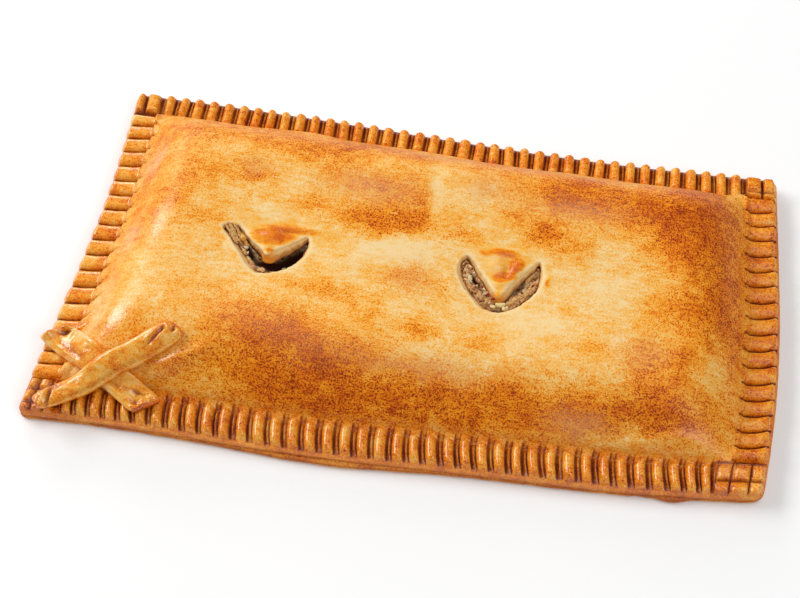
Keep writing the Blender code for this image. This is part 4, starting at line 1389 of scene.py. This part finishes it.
def makeBase(materials):
    loop, normal, out = baseOutline()
    along = np.arange(len(loop)) * baseStyle["step"]
    rows, toast = [], []
    for inwards, height in baseStyle["profile"]:
        layered = 0.16 * mm * unevenness(along, height * 1.7 * mm, 5 * mm, baseStyle["seed"] + 1)
        place = out - inwards * mm + layered * (0.5 < height < 3.7)
        at = loop + normal * place[:, None]
        lift = 0.12 * mm * unevenness(along, 3.0, 9 * mm, baseStyle["seed"] + 2) * (0.2 < height < 3.7)
        rows.append(np.column_stack([at, height * mm + lift]))
        browning = 0.70 + 0.14 * math.sin(height * 2.6) - 0.10 * smooth(height / 1.2 - 0.2) * (height < 2.2)
        toast.append(browning + 0.16 * unevenness(along, height * mm, 8 * mm, baseStyle["seed"] + 3))
    grid = np.array(rows)
    data = {"toast": np.array(toast), "bloom": 0.8, "plain": 0.4}
    sheets = [(grid, gridFaces(*grid.shape[:2], closed=True), data, 0)]

    # the underside is flat where the pie stands, with a few shallow air pockets; the top is hidden
    low, high = grid.min(axis=(0, 1)), grid.max(axis=(0, 1))
    points = lattice(low[0], high[0], low[1], high[1], baseStyle["pitch"])
    for row, height in ((0, 0.0), (-1, heights["baseTop"])):
        edge = grid[row, :, :2]
        inside = pointInside(*points.T, edge) & (distanceTo(*points.T, edge[::3]) > baseStyle["margin"])
        flat, faces = meshBetween(edge, [], points[inside])
        x, y = flat.T
        pockets = np.clip(unevenness(x, y, 16 * mm, 84) - 0.30, 0.0, 1.0) * 0.9 * mm
        fromEdge = distanceTo(x, y, edge[::3])
        lift = pockets * smooth((fromEdge - 5 * mm) / (8 * mm)) if row == 0 else 0.0
        browned = 0.52 + 0.22 * unevenness(x, y, 30 * mm, 85) + 0.12 * unevenness(x, y, 8 * mm, 86)
        data = {"toast": np.clip(browned - 600.0 * lift, 0.1, 1.0), "bloom": 0.35}
        sheets.append((np.column_stack([flat, np.full(len(flat), height) + lift]), faces, data, 0))
    return makePiece("baseCrust", sheets, materials)


# Browned dough that met no egg wash: duller and dustier than the lid.
baseFinish = dict(crustFinish, bump=0.35 * mm, roughness=0.62, dustAndSheenColour=(176, 120, 76))
baseCrust = makeBase([crustMaterial("baseDough", baseFinish)])
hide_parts("base_crust")
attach(baseCrust, "root")


# Two strips of dough crossed over the front left corner. Folds are given along and across the strip
# in mm: place, reach, turn and height.
stripStyle = {
    "under": {
        "start": (-188.0, -59.2),
        "end": (-124.6, -93.8),
        "width": 14.6,
        "thickness": 5.2,
        "bow": -0.9,
        "stations": 150,
        "square": 3.0,
        "widths": ((0, 0.92), (0.06, 1.0), (0.18, 1.04), (0.38, 0.92), (0.60, 0.86), (0.8, 0.90),
                   (0.93, 0.98), (1, 0.94)),
        "thicknesses": ((0, 0.95), (0.10, 0.90), (0.5, 1.0), (0.8, 0.95), (0.93, 0.76), (1, 0.66)),
        "skew": (4.6, 3.6),
        "folds": {
            "curl": (0.2, -3.4, 2.0, 3.6, -14, 2.6),
            "curlUpper": (4.4, 4.6, 1.6, 3.2, -26, 2.0),
            "curlGap": (1.4, -0.2, 1.6, 1.0, 50, -1.6),
            "hollow": (6.6, 2.4, 3.2, 1.7, 38, -2.8),
            "hollowBack": (9.6, 3.6, 3.0, 0.9, 34, 1.1),
            "lowerRidge": (16, -5.0, 12, 0.9, -2, 0.9),
            "upperRidge": (22, 5.0, 16, 0.9, 2, 0.7),
            "trough": (19, -2.8, 10, 1.4, 0, -0.7),
            "crown": (18, 1.4, 10, 2.2, 2, 0.5),
            "crownDent": (26, 1.6, 4, 1.6, 20, -0.4),
            "lowerRidgeEnd": (52, -4.6, 9, 0.9, 3, 0.9),
            "troughEnd": (54, -2.2, 8, 1.2, 3, -0.5),
            "crease": (62.5, 1.4, 4.2, 0.7, 16, -2.0),
            "creaseLip": (61.5, -0.4, 4.6, 0.9, 16, 0.9),
            "creaseUp": (64.5, 3.6, 3.0, 0.8, 6, 0.9),
            "endBump": (70.0, -0.6, 2.2, 2.6, 0, 1.7),
            "endDip": (66.4, -2.8, 2.6, 1.2, 34, -1.2),
            "cornerBump": (71.0, 4.8, 2.2, 1.6, 0, 1.2),
            "lowerEndBump": (66.8, -5.2, 2.2, 1.2, 0, 0.9),
        },
        "toast": 0.39,
        "seed": 91,
    },
    "over": {
        "start": (-183.0, -99.8),
        "end": (-117.2, -58.2),
        "width": 12.4,
        "thickness": 6.6,
        "bow": -1.3,
        "stations": 160,
        "square": 2.2,
        "widths": ((0, 0.66), (0.06, 0.84), (0.14, 0.92), (0.3, 0.98), (0.6, 0.96), (0.85, 1.0), (0.95, 0.92),
                   (1, 0.70)),
        "thicknesses": ((0, 0.60), (0.08, 0.86), (0.3, 1.0), (0.7, 1.0), (0.88, 0.80), (1, 0.50)),
        "skew": (-1.5, -3.0),
        "folds": {
            "beakCrease": (8.0, -0.5, 0.8, 5.0, -28, -1.9),
            "beakRidge": (5.2, 0.5, 1.1, 4.6, -30, 1.5),
            "beakDip": (2.8, -0.6, 0.9, 3.0, -34, -1.0),
            "beakTip": (0.8, -1.5, 1.4, 1.6, 0, 1.1),
            "shoulderDent": (12.5, 3.0, 3.0, 1.2, 10, -0.7),
            "shoulderDentLow": (15.5, -1.4, 3.4, 1.0, -12, -0.45),
            "pocket": (65.0, 0.6, 4.4, 0.9, 22, -1.3),
            "pocketDeep": (69.4, 2.4, 1.6, 1.0, 30, -1.1),
            "pocketUpper": (64.6, 2.8, 5.0, 0.8, 16, 0.9),
            "pocketLower": (66.0, -1.4, 4.8, 0.8, 26, 0.8),
            "tornRim": (72.4, 0.4, 0.9, 4.0, 10, 1.3),
            "tornNotch": (74.6, -0.2, 1.2, 1.0, 0, -1.5),
            "tornPoint": (76.0, -2.6, 1.4, 1.0, 0, 0.9),
            "lowerFacet": (34, -4.6, 26, 0.9, 0, -0.5),
            "sheenDent": (22, 1.0, 3.0, 1.4, 30, -0.35),
            "sheenDentTwo": (30, -1.0, 4.0, 1.2, -20, -0.3),
            "sheenDentThree": (46, 0.6, 5.0, 1.1, 14, -0.25),
        },
        "toast": 0.42,
        "seed": 92,
    },
}
stripLay = {
    "bed": 1.2 * mm,
    "bedReach": 6 * mm,
    "crossingReach": 16 * mm,
    "sides": 64,
    "endRound": 2.0 * mm,
    "lumps": ((7 * mm, 0.30 * mm, 1), (2.4 * mm, 0.15 * mm, 2)),
    "mottle": ((10 * mm, 0.16, 3), (3 * mm, 0.12, 4)),
}


def coveredHeight(x, y):
    # the lid's height with its grooves filled: what a strip lies on
    return np.where(nearestInset(x, y) >= rimWidth, domeHeight(x, y), heights["crest"])


def bedHeight(x, y):
    reach = stripLay["bedReach"]
    around = ((0.0, 0.0), (1.0, 0.0), (-1.0, 0.0), (0.0, 1.0), (0.0, -1.0))
    return sum(coveredHeight(x + a * reach, y + b * reach) for a, b in around) / len(around)


def crossingLift(x, y, other):
    (ax, ay), (bx, by) = np.array(other["start"]) * mm, np.array(other["end"]) * mm
    length = math.hypot(bx - ax, by - ay)
    along = ((x - ax) * (bx - ax) + (y - ay) * (by - ay)) / length
    away = np.abs((x - ax) * (by - ay) - (y - ay) * (bx - ax)) / length
    lift = other["thickness"] * mm * smooth(1.0 - away / stripLay["crossingReach"])
    return np.where((along < 0.0) | (along > length), 0.0, lift)


def roundedSide(value, power):
    return np.sign(value) * np.abs(value) ** (2.0 / power)


def makeStrip(name, style, materials, over=None):
    start, end = np.array(style["start"]) * mm, np.array(style["end"]) * mm
    length = np.linalg.norm(end - start)
    ahead = (end - start) / length
    aside = np.array([-ahead[1], ahead[0]])
    s = np.linspace(0.0, 1.0, style["stations"])
    s = lerp(s, 0.5 - 0.5 * np.cos(np.pi * s), 0.6)
    fromEnd = np.minimum(s, 1.0 - s) * length
    closing = np.sqrt(np.clip(1.0 - (1.0 - np.clip(fromEnd / stripLay["endRound"], 0.0, 1.0)) ** 2, 0.0, 1.0))
    closing = np.maximum(closing, 0.03)
    knotsW, knotsT = np.array(style["widths"]), np.array(style["thicknesses"])
    wide = softened(np.interp(s, knotsW[:, 0], knotsW[:, 1]), 4) * style["width"] * mm / 2
    tall = softened(np.interp(s, knotsT[:, 0], knotsT[:, 1]), 4) * style["thickness"] * mm + stripLay["bed"]
    wide = wide * (1.0 + 0.04 * unevenness(s * length, 2.0, 9 * mm, style["seed"])) * lerp(0.55, 1.0, closing)
    angle = np.linspace(0.0, 2.0 * np.pi, stripLay["sides"], endpoint=False)
    across = roundedSide(np.cos(angle), style["square"])[None, :] * wide[:, None]
    up = (roundedSide(np.sin(angle), style["square"])[None, :] + 1.0) / 2
    up = 0.5 + (up - 0.5) * closing[:, None]
    skewStart, skewEnd = style["skew"]  # how far the cut ends slant
    share = across / (style["width"] * mm / 2)
    along = s[:, None] * length
    along = along + skewStart * mm * share * smooth(1.0 - along / (12 * mm))
    along = along + skewEnd * mm * share * smooth(1.0 - (length - along) / (12 * mm))
    bow = style["bow"] * mm * np.sin(np.pi * s)[:, None]
    folds = sumOfPatches(style["folds"], along, across) * mm
    x = start[0] + along * ahead[0] + (across + bow) * aside[0]
    y = start[1] + along * ahead[1] + (across + bow) * aside[1]
    lift = crossingLift(x, y, over) if over else 0.0
    lumps = lumpsOf(stripLay["lumps"], along, across, style["seed"])
    upper = smooth((up - 0.35) / 0.4)
    z = bedHeight(x, y) - stripLay["bed"] + lift + up * tall[:, None] + (folds + lumps) * upper
    grid = np.stack([*plan(x, y), z], -1)

    # painted shade in the creases of the folds: browner and darker there
    creaseShade = np.clip(-folds / (1.6 * mm), 0.0, 1.0)
    edge = smooth((np.abs(share) - 0.72) / 0.28)
    toast = style["toast"] + lumpsOf(stripLay["mottle"], along, across, style["seed"]) + 0.40 * creaseShade
    toast = toast + 0.16 * (1.0 - upper) - 0.10 * edge * upper
    toast = toast + 0.30 * np.exp(-((fromEnd / (2.2 * mm)) ** 2))[:, None]
    glaze = upper * (0.8 + 0.4 * unevenness(along, across, 6 * mm, style["seed"] + 5))
    data = {"toast": np.clip(toast, 0.0, 1.0), "groove": creaseShade * 0.8, "plain": 0.45,
            "glaze": np.clip(glaze, 0.0, 1.0)}
    return makePiece(name, [(grid, tubeFaces(*grid.shape[:2]), data, 0)], materials)


# The strips' dough: evener and shinier than the lid.
stripFinish = dict(crustFinish, cloud=0.20, blotch=0.18, roughness=0.42, coatRoughness=0.12, shine=2.2,
                   washBump=0.30)
stripDough = crustMaterial("stripDough", stripFinish)
for stripName, node, over in (("under", "strip_under", None), ("over", "strip_over", stripStyle["under"])):
    strip = makeStrip("strip" + stripName.capitalize(), stripStyle[stripName], [stripDough], over)
    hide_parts(node)
    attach(strip, "root")


# The filling: a dark, moist core under the lid, heaped up in the slots.
fillingStyle = {
    "inset": 23.5 * mm,
    "bottom": 4.6 * mm,
    "below": 0.6 * mm,
    "drops": {
        "left": (-73, -9, 11, 7, 36, -4.5),
        "leftGap": (-97, -9, 3.5, 2.5, -40, -2.0),
        "rightGap": (41, -20.5, 8, 2.4, 4, -2.4),
        "rightLine": (26, -4, 1.6, 6, 34, -1.4),
    },
    "heaps": {  # only inside the slots
        "leftArm": (-106, 0, 13, 8, -48, 5.2),
        "leftFoot": (-90, -16, 7, 4, 0, 3.4),
        "rightVent": (36, -8, 36, 24, 0, 5.0),
    },
    "shadows": {  # where it is nearly black
        "leftArm": (-73.5, -5.8, 12, 3.9, 38, 1.5),
        "leftApex": (-85, -11.0, 8, 2.1, 8, 1.1),
        "leftGap": (-96.0, -6.5, 5.0, 1.6, -42, 1.0),
        "rightGap": (41, -21.6, 8, 1.5, 4, 0.7),
        "rightLine": (26.5, -5, 1.4, 5, 34, 0.8),
        "rightSide": (50.0, -5.6, 12, 1.6, 54, 0.45),
        "rightTip": (43.0, -15.4, 2.4, 2.0, 0, 0.6),
    },
    "lumps": ((4.5 * mm, 0.7 * mm, 101), (2.0 * mm, 0.45 * mm, 102)),
    "edgeHeight": 0.6 * mm,
    "edgeRise": 8 * mm,
    "wallShare": 0.62,  # how much of a cut wall's slope the heaps keep clear of
    "wallFade": (-0.2 * mm, 0.8 * mm),
    "edgeSteps": (90, 48),
    "coarsePitch": 6 * mm,
    "coarseMargin": 3 * mm,
    "finePitch": 0.7 * mm,
    "fineReach": 8 * mm,
    "fineWithin": 5 * mm,
}


def wallFoot(x, y):
    # how far the nearest cut wall slopes in at its foot
    nearest, reach = np.full(np.shape(x), 1.0), np.zeros(np.shape(x))
    for name, (loop, onTongue, _) in slots.items():
        lean = wallLean(vents[name], loop, onTongue)
        apart = np.hypot(x[:, None] - loop[:, 0], y[:, None] - loop[:, 1])
        closest = apart.argmin(axis=1)
        here = apart[np.arange(len(x)), closest]
        reach = np.where(here < nearest, lean[closest], reach)
        nearest = np.minimum(nearest, here)
    return reach


def fillingTop(x, y):
    away = easeIn(nearestInset(x, y), fillingStyle["inset"], fillingStyle["edgeRise"])
    hollows = lumpsOf(fillingStyle["lumps"], x, y) - sum(strength for _, strength, _ in fillingStyle["lumps"])
    drops = sumOfPatches(fillingStyle["drops"], x, y) * mm
    clear = slotDistance(x, y) - fillingStyle["wallShare"] * wallFoot(x, y)
    within = np.where(inAnySlot(x, y), easeIn(clear, *fillingStyle["wallFade"]), 0.0)
    heaps = sumOfPatches(fillingStyle["heaps"], x, y) * mm * within
    top = domeHeight(x, y) - heights["lidThickness"] - fillingStyle["below"] + hollows + drops + heaps
    return lerp(fillingStyle["bottom"] + fillingStyle["edgeHeight"], top, away)


def makeFilling(materials):
    x0, x1, y0, y1 = (lineAt(side, fillingStyle["inset"]) for side in (*endSides, *longSides))
    stepsX, stepsY = fillingStyle["edgeSteps"]
    edge = ringRound(np.linspace(x0, x1, stepsX)[:-1], np.linspace(y0, y1, stepsY)[:-1], x1, y1)
    margin = fillingStyle["coarseMargin"]
    coarse = lattice(x0 + margin, x1 - margin, y0 + margin, y1 - margin, fillingStyle["coarsePitch"])
    coarse = coarse[slotDistance(*coarse.T) > ventEdge["fineWithin"]]
    fine = [latticeAround(loop, fillingStyle["fineReach"], fillingStyle["finePitch"]) for loop in slotEdges]
    fine = np.concatenate(fine)
    fine = fine[(slotDistance(*fine.T) < fillingStyle["fineWithin"]) | inAnySlot(*fine.T)]
    flat, faces = meshBetween(edge, [], np.concatenate([coarse, fine]))
    shadow = np.clip(sumOfPatches(fillingStyle["shadows"], *flat.T), 0.0, 1.0)
    top = (lifted(flat, fillingTop(*flat.T)), faces, {"shadow": shadow}, 0)
    lowest = np.full(len(edge), fillingStyle["bottom"])
    rings = np.array([lifted(edge, fillingTop(*edge.T)), lifted(edge, lowest)])
    wall = (rings, gridFaces(2, len(edge), closed=True), {}, 0)
    flat, faces = meshBetween(edge, [], coarse[::2])
    bottom = (lifted(flat, np.full(len(flat), fillingStyle["bottom"])), faces, {}, 0)
    return makePiece("fillingCore", [top, wall, bottom], materials)


fillingFinish = {
    "colours": ((0.36, (92, 46, 24)), (0.45, (172, 118, 72)), (0.54, (220, 178, 124)),
                (0.64, (248, 226, 186))),
    "darkest": (44, 16, 8),
    "lumpSize": 2.0 * mm,
    "roughness": 0.62,
    "specular": 0.04,
    "bumpStrength": 0.7,
    "bump": 0.4 * mm,
}


def fillingMaterial(name, finish):
    material, tree, shader, coords = startMaterial(name, finish)
    lumps = noiseAt(tree, coords, finish["lumpSize"], 4.0, 0.7, 0.6)
    colour = rampOf(tree, lumps, finish["colours"])
    # the eye takes a fifth of the light for a half, so what a shadow leaves is raised to a power
    left = maths(tree, "POWER", maths(tree, "SUBTRACT", 1.0, attribute(tree, "shadow"), clamp=True), 2.6)
    colour = mixed(tree, left, sRgb(*finish["darkest"]), colour)
    tree.links.new(colour, shader.inputs["Base Color"])
    addBump(tree, shader, lumps, finish["bumpStrength"], finish["bump"], "Normal")
    return material


fillingCore = makeFilling([fillingMaterial("fillingSauce", fillingFinish)])
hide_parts("filling")
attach(fillingCore, "root")


# What lies loose in the vents. Each: place, turn in degrees, length, width, height and lift, in mm.
scraps = {
    "shreds": {
        "colours": ((0.30, (124, 70, 30)), (0.46, (190, 132, 70)), (0.58, (228, 180, 112)),
                    (0.70, (248, 218, 160))),
        "stretch": (1.0, 5.0, 5.0),
        "sheen": 0.12,
        "places": (
            (-109.8, 2.0, -50, 10, 1.7, 1.7, 0.6), (-108.4, 2.6, -52, 11, 1.6, 1.6, 1.0),
            (-107.0, 2.8, -48, 10, 1.7, 1.7, 0.9), (-105.6, 2.6, -53, 10, 1.6, 1.6, 1.0),
            (-108.0, 0.0, -46, 9, 1.6, 1.5, 0.5), (-106.0, -1.0, -52, 10, 1.7, 1.6, 0.7),
            (-104.2, -0.8, -47, 9, 1.6, 1.6, 0.8), (-94.6, -12.2, -36, 8, 2.0, 1.5, -0.2),
            (-82.5, -16.0, 8, 7, 2.4, 1.7, -1.0), (-76.6, -13.8, 27, 7, 2.4, 1.7, -1.4),
            (-99.6, -5.8, -56, 9, 2.0, 1.5, -0.1), (29.0, -11.4, -46, 10, 2.6, 2.0, -0.4),
            (25.0, -8.2, -52, 9, 2.4, 1.8, -0.5), (33.4, -15.6, -32, 9, 2.6, 1.9, -0.4),
            (50.4, -12.2, 44, 11, 2.6, 1.9, -0.4), (53.2, -9.6, 50, 10, 2.5, 1.8, -0.2),
            (46.8, -16.2, 36, 9, 2.4, 1.7, -0.6), (56.0, -4.0, 62, 9, 2.4, 1.7, -0.5),
            (22.4, -2.0, -66, 9, 2.4, 1.9, -0.4), (55.0, 1.2, 58, 8, 2.0, 1.5, -0.9),
        ),
    },
    "chunks": {
        "colours": ((0.32, (112, 60, 34)), (0.46, (178, 120, 76)), (0.58, (220, 170, 116)),
                    (0.70, (246, 214, 168))),
        "stretch": (1.0, 1.0, 1.0),
        "sheen": 0.15,
        "places": (
            (-99.6, -4.4, 20, 4.4, 3.6, 3.0, -0.4), (-92.6, -15.0, -30, 4.6, 3.2, 2.4, -0.5),
            (-87.0, -16.2, 10, 4.0, 2.8, 2.2, -0.6), (26.8, -9.6, -40, 6.0, 4.2, 3.2, -0.5),
            (30.8, -14.4, -30, 5.2, 3.8, 3.0, -0.5), (20.8, 0.8, 60, 4.2, 3.2, 2.6, -0.3),
            (35.4, -17.4, 10, 4.4, 3.4, 2.6, -0.5), (48.4, -13.2, 30, 5.2, 3.6, 2.6, -0.5),
            (52.8, -12.4, 40, 4.2, 3.0, 2.4, -0.7), (57.0, -6.4, 60, 5.0, 3.2, 2.6, -0.6),
            (46.0, -19.4, 20, 4.0, 2.6, 2.0, -0.8), (28.0, -4.4, -50, 4.0, 2.6, 2.4, -0.6),
        ),
    },
    "onion": {
        "colours": ((0.35, (206, 170, 104)), (0.50, (234, 208, 142)), (0.65, (246, 232, 186))),
        "stretch": (1.0, 3.0, 3.0),
        "sheen": 0.25,
        "places": (
            (-76.6, -10.4, 30, 2.4, 1.6, 1.0, -3.0), (41.8, -17.4, 8, 5.4, 3.2, 2.0, 0.0),
            (44.6, -19.0, 34, 3.6, 2.2, 1.6, -0.4), (38.0, -18.6, -12, 3.4, 2.2, 1.4, -0.4),
            (23.6, -3.8, -60, 3.4, 2.0, 1.4, 0.3), (-95.8, -10.2, -50, 3.4, 1.8, 1.4, 0.0),
        ),
    },
    "gold": {
        "colours": ((0.35, (206, 130, 44)), (0.50, (236, 172, 78)), (0.65, (248, 206, 124))),
        "stretch": (1.0, 1.0, 1.0),
        "sheen": 0.2,
        "places": ((-101.8, 0.2, -40, 5.4, 3.6, 3.0, 0.7), (-99.0, -2.6, -56, 4.0, 2.6, 2.2, 0.4)),
    },
    "pepper": {
        "colours": ((0.35, (96, 24, 12)), (0.50, (146, 48, 22)), (0.65, (186, 84, 44))),
        "stretch": (1.0, 1.0, 1.0),
        "sheen": 0.2,
        "places": (
            (34.6, -13.0, -34, 3.0, 1.5, 1.3, 0.5), (37.6, -15.0, 10, 2.2, 1.3, 1.1, 0.4),
            (57.2, -3.6, 60, 2.6, 1.4, 1.1, 0.4), (30.6, -8.8, -44, 2.2, 1.1, 1.0, 0.5),
        ),
    },
    "glass": {
        "colours": ((0.35, (166, 142, 108)), (0.50, (206, 184, 150)), (0.65, (236, 222, 196))),
        "stretch": (1.0, 1.0, 1.0),
        "sheen": 0.6,
        "places": (
            (20.4, 1.6, 70, 2.6, 1.7, 1.4, 0.4), (22.2, -3.0, 40, 2.4, 1.7, 1.4, 0.5),
            (23.8, -6.0, -30, 2.6, 1.7, 1.4, 0.4), (33.0, -12.6, 0, 2.0, 1.4, 1.2, 0.5),
            (-98.4, -5.0, 10, 2.6, 1.8, 1.4, 0.8), (-97.2, -7.6, 60, 2.2, 1.5, 1.2, 0.6),
        ),
    },
}
scrapMesh = {"stations": 11, "around": 10, "seed": 300}


def makeScrap(place, ordinal, slender):
    # one small closed lump, blunt or drawn out, rough all over
    x, y, turn, length, width, height, lift = place
    rng = np.random.default_rng(scrapMesh["seed"] + ordinal)
    s = 0.5 - 0.5 * np.cos(np.pi * np.linspace(0.03, 0.97, scrapMesh["stations"]))
    angle = np.linspace(0.0, 2.0 * np.pi, scrapMesh["around"], endpoint=False)
    girth = np.clip(1.0 - np.abs(2.0 * s - 1.0) ** (3.5 if slender else 2.2), 0.02, 1.0) ** 0.5
    girth = girth * (1.0 + 0.16 * rng.normal(size=len(s)))
    rough = 1.0 + 0.13 * rng.normal(size=(len(s), len(angle)))
    bend = rng.uniform(-0.10, 0.10) * length * np.sin(np.pi * s)
    across = girth[:, None] * np.cos(angle) * rough * width / 2 + bend[:, None]
    up = girth[:, None] * np.sin(angle) * rough * height / 2
    along = (s[:, None] - 0.5) * length * np.ones(len(angle))
    c, w = math.cos(math.radians(turn)), math.sin(math.radians(turn))
    px, py = x * mm + (along * c - across * w) * mm, y * mm + (along * w + across * c) * mm
    slope = rng.uniform(-0.05, 0.05)
    surface = domeHeight(px, py).mean(axis=1)[:, None]
    sunk = heights["lidThickness"] + fillingStyle["below"]
    sunk = sunk - sumOfPatches(fillingStyle["heaps"], x * mm, y * mm) * mm
    z = surface - sunk + (lift + up + slope * along) * mm
    return np.stack([*plan(px, py), z], -1), tubeFaces(len(s), len(angle)), {}, 0


scrapFinish = {
    "roughness": 0.55,
    "specular": 0.12,
    "coatRoughness": 0.12,
    "subsurface": 0.2,
    "subsurfaceScale": 0.3,
    "strandSize": 1.6 * mm,
    "bump": 0.25 * mm,
}


def scrapMaterial(name, look):
    finish = dict(scrapFinish, sheen=look["sheen"])
    material, tree, shader, coords = startMaterial(name, finish)
    drawn = addNode(tree, "Mapping", Vector=coords, Scale=look["stretch"]).outputs["Vector"]
    strands = noiseAt(tree, drawn, finish["strandSize"], 4.0, 0.7, 0.3)
    tree.links.new(rampOf(tree, strands, look["colours"]), shader.inputs["Base Color"])
    addBump(tree, shader, strands, 1.0, finish["bump"], "Normal", "Coat Normal")
    return material


ordinal = 0
for scrapName, look in scraps.items():
    sheets = []
    for place in look["places"]:
        ordinal += 1
        sheets.append(makeScrap(place, ordinal, scrapName in ("shreds", "onion")))
    scrap = makePiece(scrapName, sheets, [scrapMaterial(scrapName, look)])
    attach(scrap, "root")


# The floor, the light and the eye.
studio = {
    "floor": 3.0,
    "floorColour": (0.97, 0.97, 0.97, 1.0),
    "skyColour": (1.0, 1.0, 1.0, 1.0),
    "skyStrength": 0.27,
    "lamps": {  # place, aim, width, height, watts
        "key": ((-2.16, 0.76, 1.50), (0.0, 0.0, 0.02), 1.9, 0.85, 49.0),
        "top": ((0.5, 0.3, 2.6), (0.0, 0.0, 0.02), 1.6, 1.6, 15.0),
        "behind": ((-1.25, 2.10, 0.95), (0.0, 0.0, 0.02), 1.1, 0.5, 15.0),
        "fill": ((2.0, -1.3, 2.2), (0.1, 0.0, 0.02), 1.6, 1.6, 29.0),
    },
    "eye": (39.82 * mm - shiftX, -342.41 * mm - shiftY, 569.73 * mm),
    "tilt": 31.0,
    "turn": 8.464,
    "lens": 54.0,
}


def makeStage():
    mesh = bpy.data.meshes.new("floor")
    half = studio["floor"]
    corners = [(-half, -half, 0), (half, -half, 0), (half, half, 0), (-half, half, 0)]
    mesh.from_pydata(corners, [], [(0, 1, 2, 3)])
    floor = bpy.data.objects.new("floor", mesh)
    bpy.context.scene.collection.objects.link(floor)
    material, _, shader, _ = startMaterial("paleFloor", {"roughness": 0.9, "specular": 0.1})
    shader.inputs["Base Color"].default_value = studio["floorColour"]
    mesh.materials.append(material)


def makeLamps():
    world = bpy.data.worlds.new("studio")
    world.use_nodes = True
    sky = world.node_tree.nodes["Background"]
    sky.inputs["Color"].default_value = studio["skyColour"]
    sky.inputs["Strength"].default_value = studio["skyStrength"]
    bpy.context.scene.world = world
    for name, (place, aim, width, height, watts) in studio["lamps"].items():
        light = bpy.data.lights.new(name, "AREA")
        light.shape = "RECTANGLE"
        light.size, light.size_y, light.energy = width, height, watts
        lamp = bpy.data.objects.new(name, light)
        lamp.location = place
        lamp.rotation_euler = (Vector(aim) - Vector(place)).to_track_quat("-Z", "Y").to_euler()
        bpy.context.scene.collection.objects.link(lamp)


def makeCamera():
    lens = bpy.data.cameras.new("eye")
    lens.lens = studio["lens"]
    lens.clip_start = 0.05
    camera = bpy.data.objects.new("eye", lens)
    camera.location = studio["eye"]
    camera.rotation_euler = (math.radians(studio["tilt"]), 0.0, math.radians(studio["turn"]))
    bpy.context.scene.collection.objects.link(camera)
    bpy.context.scene.camera = camera


makeStage()
makeLamps()
makeCamera()
bpy.context.scene.view_settings.view_transform = "Standard"
print("stage set")
